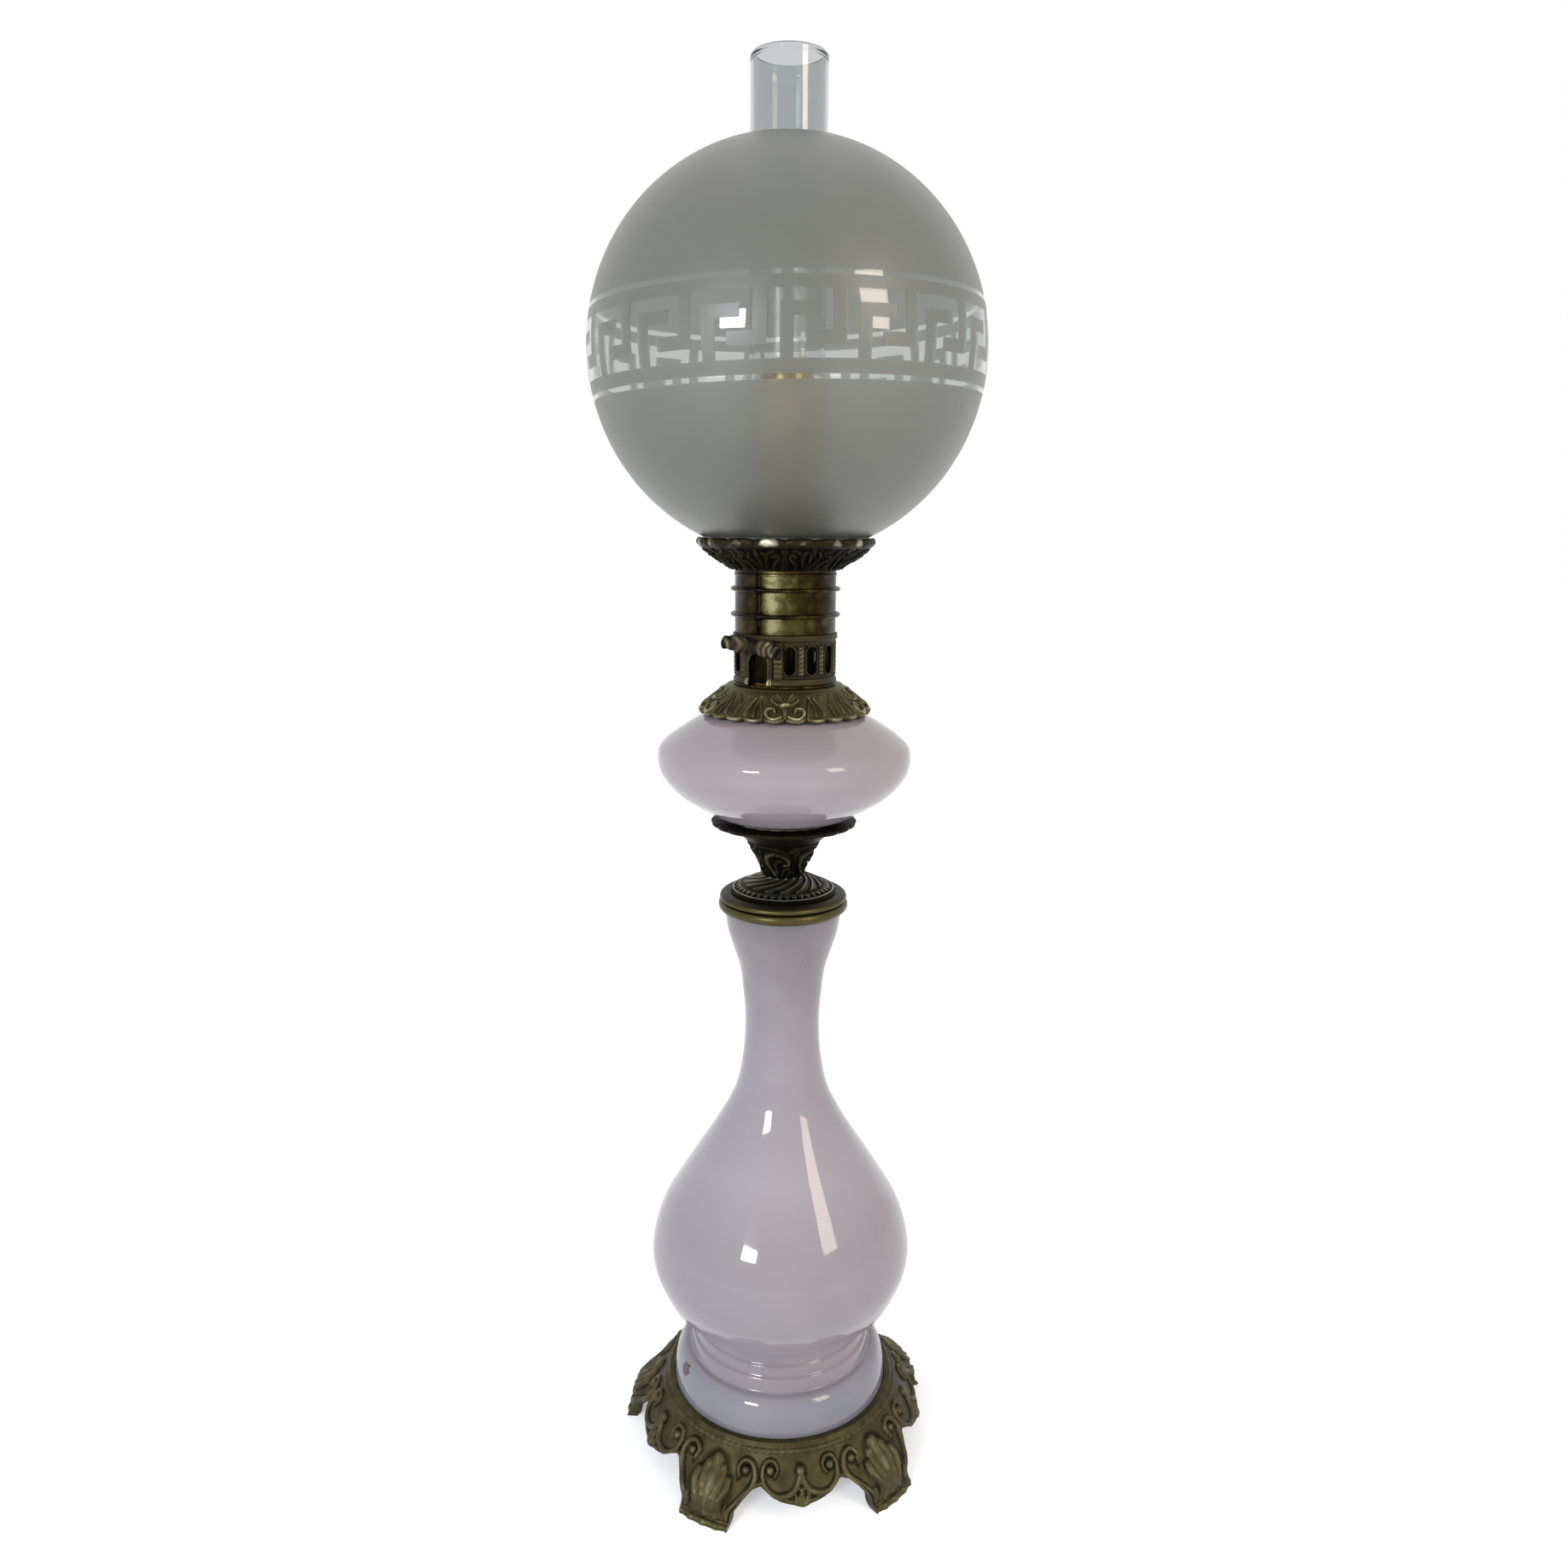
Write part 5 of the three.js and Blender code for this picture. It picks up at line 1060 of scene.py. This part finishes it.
bend = [(24.2 - 5.2 * (0.5 - 0.5 * math.cos(math.pi * s)), 598.58 + 14 * s) for s in np.linspace(0, 1, 18)]
chimney_outline = [
    *soften([(22.6, 530), (22.6, 521.58), (24.2, 521.58), (24.2, 530)], 0.7), *bend,
    *soften(
        [(19, 700), (19, 751.98), (16.2, 751.98), (16.2, 750.4), (17.4, 748.6), (17.4, 700)], 1.3
    ), *[(r - CHIMNEY_WALL, h) for r, h in bend[::-1]],
]
chimney_piece = turned("clear_chimney", chimney_outline, 128)
settle(chimney_piece, "chimney", "clear_glass", clear_glass, "chimney")

# Globe: blown glass, frosted with acid outside but for a band of Greek key between two clear lines.
# The key is eighteen repeats of six by five cells, a little askew. The frost's grain is drawn at 0.3 mm,
# coarser than it is, so that it shows.
GLOBE_RADIUS, GLOBE_WALL, GLOBE_CENTRE, FITTER, MOUTH, GLOBE_LOW = 100, 2.2, 615.6, 42.6, 34, 521.28
BAND_TOP, CELL, REPEATS = 13.9, 5.7, 18
KEY_START = 25.8 / 360
LINES = ((20.6, 1.25), (-21.7, 1.25))
ASKEW = (-0.0209, -0.0126, 1.0)
STEMS = [
    ((0, 1), (0, 5)), ((0, 5), (0, 1)), ((4, 5), (0, 3)), ((2, 5), (2, 3)), ((2, 3), (2, 5)),
    ((2, 6), (4, 5))
]
frosted, tree = new_material("acid-frosted blown glass")
place = add_node(tree, "TexCoord").outputs["Object"]
axes = add_node(tree, "SeparateXYZ", {0: place})
back = add_node(tree, "Math", {0: axes.outputs["Y"], 1: -1.0}, operation="MULTIPLY")
bearing = add_node(tree, "Math", {0: axes.outputs["X"], 1: back}, operation="ARCTAN2")
turns = add_node(tree, "Math", {
    0: bearing, 1: REPEATS / (2 * math.pi), 2: REPEATS * (1 - KEY_START),
}, operation="MULTIPLY_ADD")
across = add_node(tree, "Math", {0: turns}, operation="FRACT")
across = add_node(tree, "Math", {0: across, 1: 6.0}, operation="MULTIPLY")
level = add_node(tree, "VectorMath", {0: place, 1: ASKEW}, operation="DOT_PRODUCT").outputs["Value"]
down = add_node(tree, "Math", {
    0: level, 1: -1000 / CELL, 2: (GLOBE_CENTRE + BAND_TOP) / CELL,
}, operation="MULTIPLY_ADD")


def between(value, low, high):
    """1 where a value is between two numbers."""
    return add_node(tree, "Math", {0: value, 1: (low + high) / 2, 2: (high - low) / 2}, operation="COMPARE")


clear = None
for columns, rows in STEMS:
    cell = add_node(tree, "Math", {
        0: between(across, *columns), 1: between(down, *rows),
    }, operation="MULTIPLY")
    clear = cell if clear is None else add_node(tree, "Math", {0: clear, 1: cell}, operation="MAXIMUM")
for middle, half in LINES:
    low, high = (GLOBE_CENTRE + middle - half) * MM, (GLOBE_CENTRE + middle + half) * MM
    clear = add_node(tree, "Math", {0: clear, 1: between(level, low, high)}, operation="MAXIMUM")
grain = add_node(tree, "TexNoise", {"Vector": place, "Scale": 1 / (0.3 * MM), "Detail": 2.0})
cloud = add_node(tree, "TexNoise", {"Vector": place, "Scale": 1 / (60 * MM), "Detail": 3.0})
haze = add_node(tree, "MapRange", {
    "Value": cloud, "From Min": 0.3, "From Max": 0.7, "To Min": 0.34, "To Max": 0.39,
})
rough = add_node(tree, "MixRGB", {"Fac": clear, "Color1": haze, "Color2": (0.0, 0.0, 0.0, 1.0)})
frost = add_node(tree, "MixRGB", {"Fac": grain, "Color1": "#abaca5", "Color2": "#b4b5ae"})
tint = add_node(tree, "MixRGB", {"Fac": clear, "Color1": frost, "Color2": "#d9dcda"})
through_glass = add_node(tree, "MapRange", {"Value": clear, "To Min": 0.88, "To Max": 1.0})
shader = add_node(tree, "BsdfPrincipled", {
    "Base Color": tint, "Roughness": rough, "IOR": 1.48, "Transmission Weight": through_glass,
})
add_node(tree, "OutputMaterial", {"Surface": shader})


def ball_arc(radius, low_radius, high_radius, count):
    """Outline of a ball from its fitter below to its mouth above."""
    low, high = -math.acos(low_radius / radius), math.acos(high_radius / radius)
    turn = np.linspace(low, high, count)
    return [(radius * math.cos(t), GLOBE_CENTRE + radius * math.sin(t)) for t in turn]


globe_outline = [
    (FITTER - GLOBE_WALL, GLOBE_LOW), (FITTER, GLOBE_LOW), *ball_arc(GLOBE_RADIUS, FITTER, MOUTH, 120),
    *ball_arc(GLOBE_RADIUS - GLOBE_WALL, FITTER - GLOBE_WALL, MOUTH - GLOBE_WALL, 70)[::-1],
]
globe_piece = turned("frosted_globe", globe_outline, 240)
settle(globe_piece, "globe", "frosted_glass", frosted, "globe")
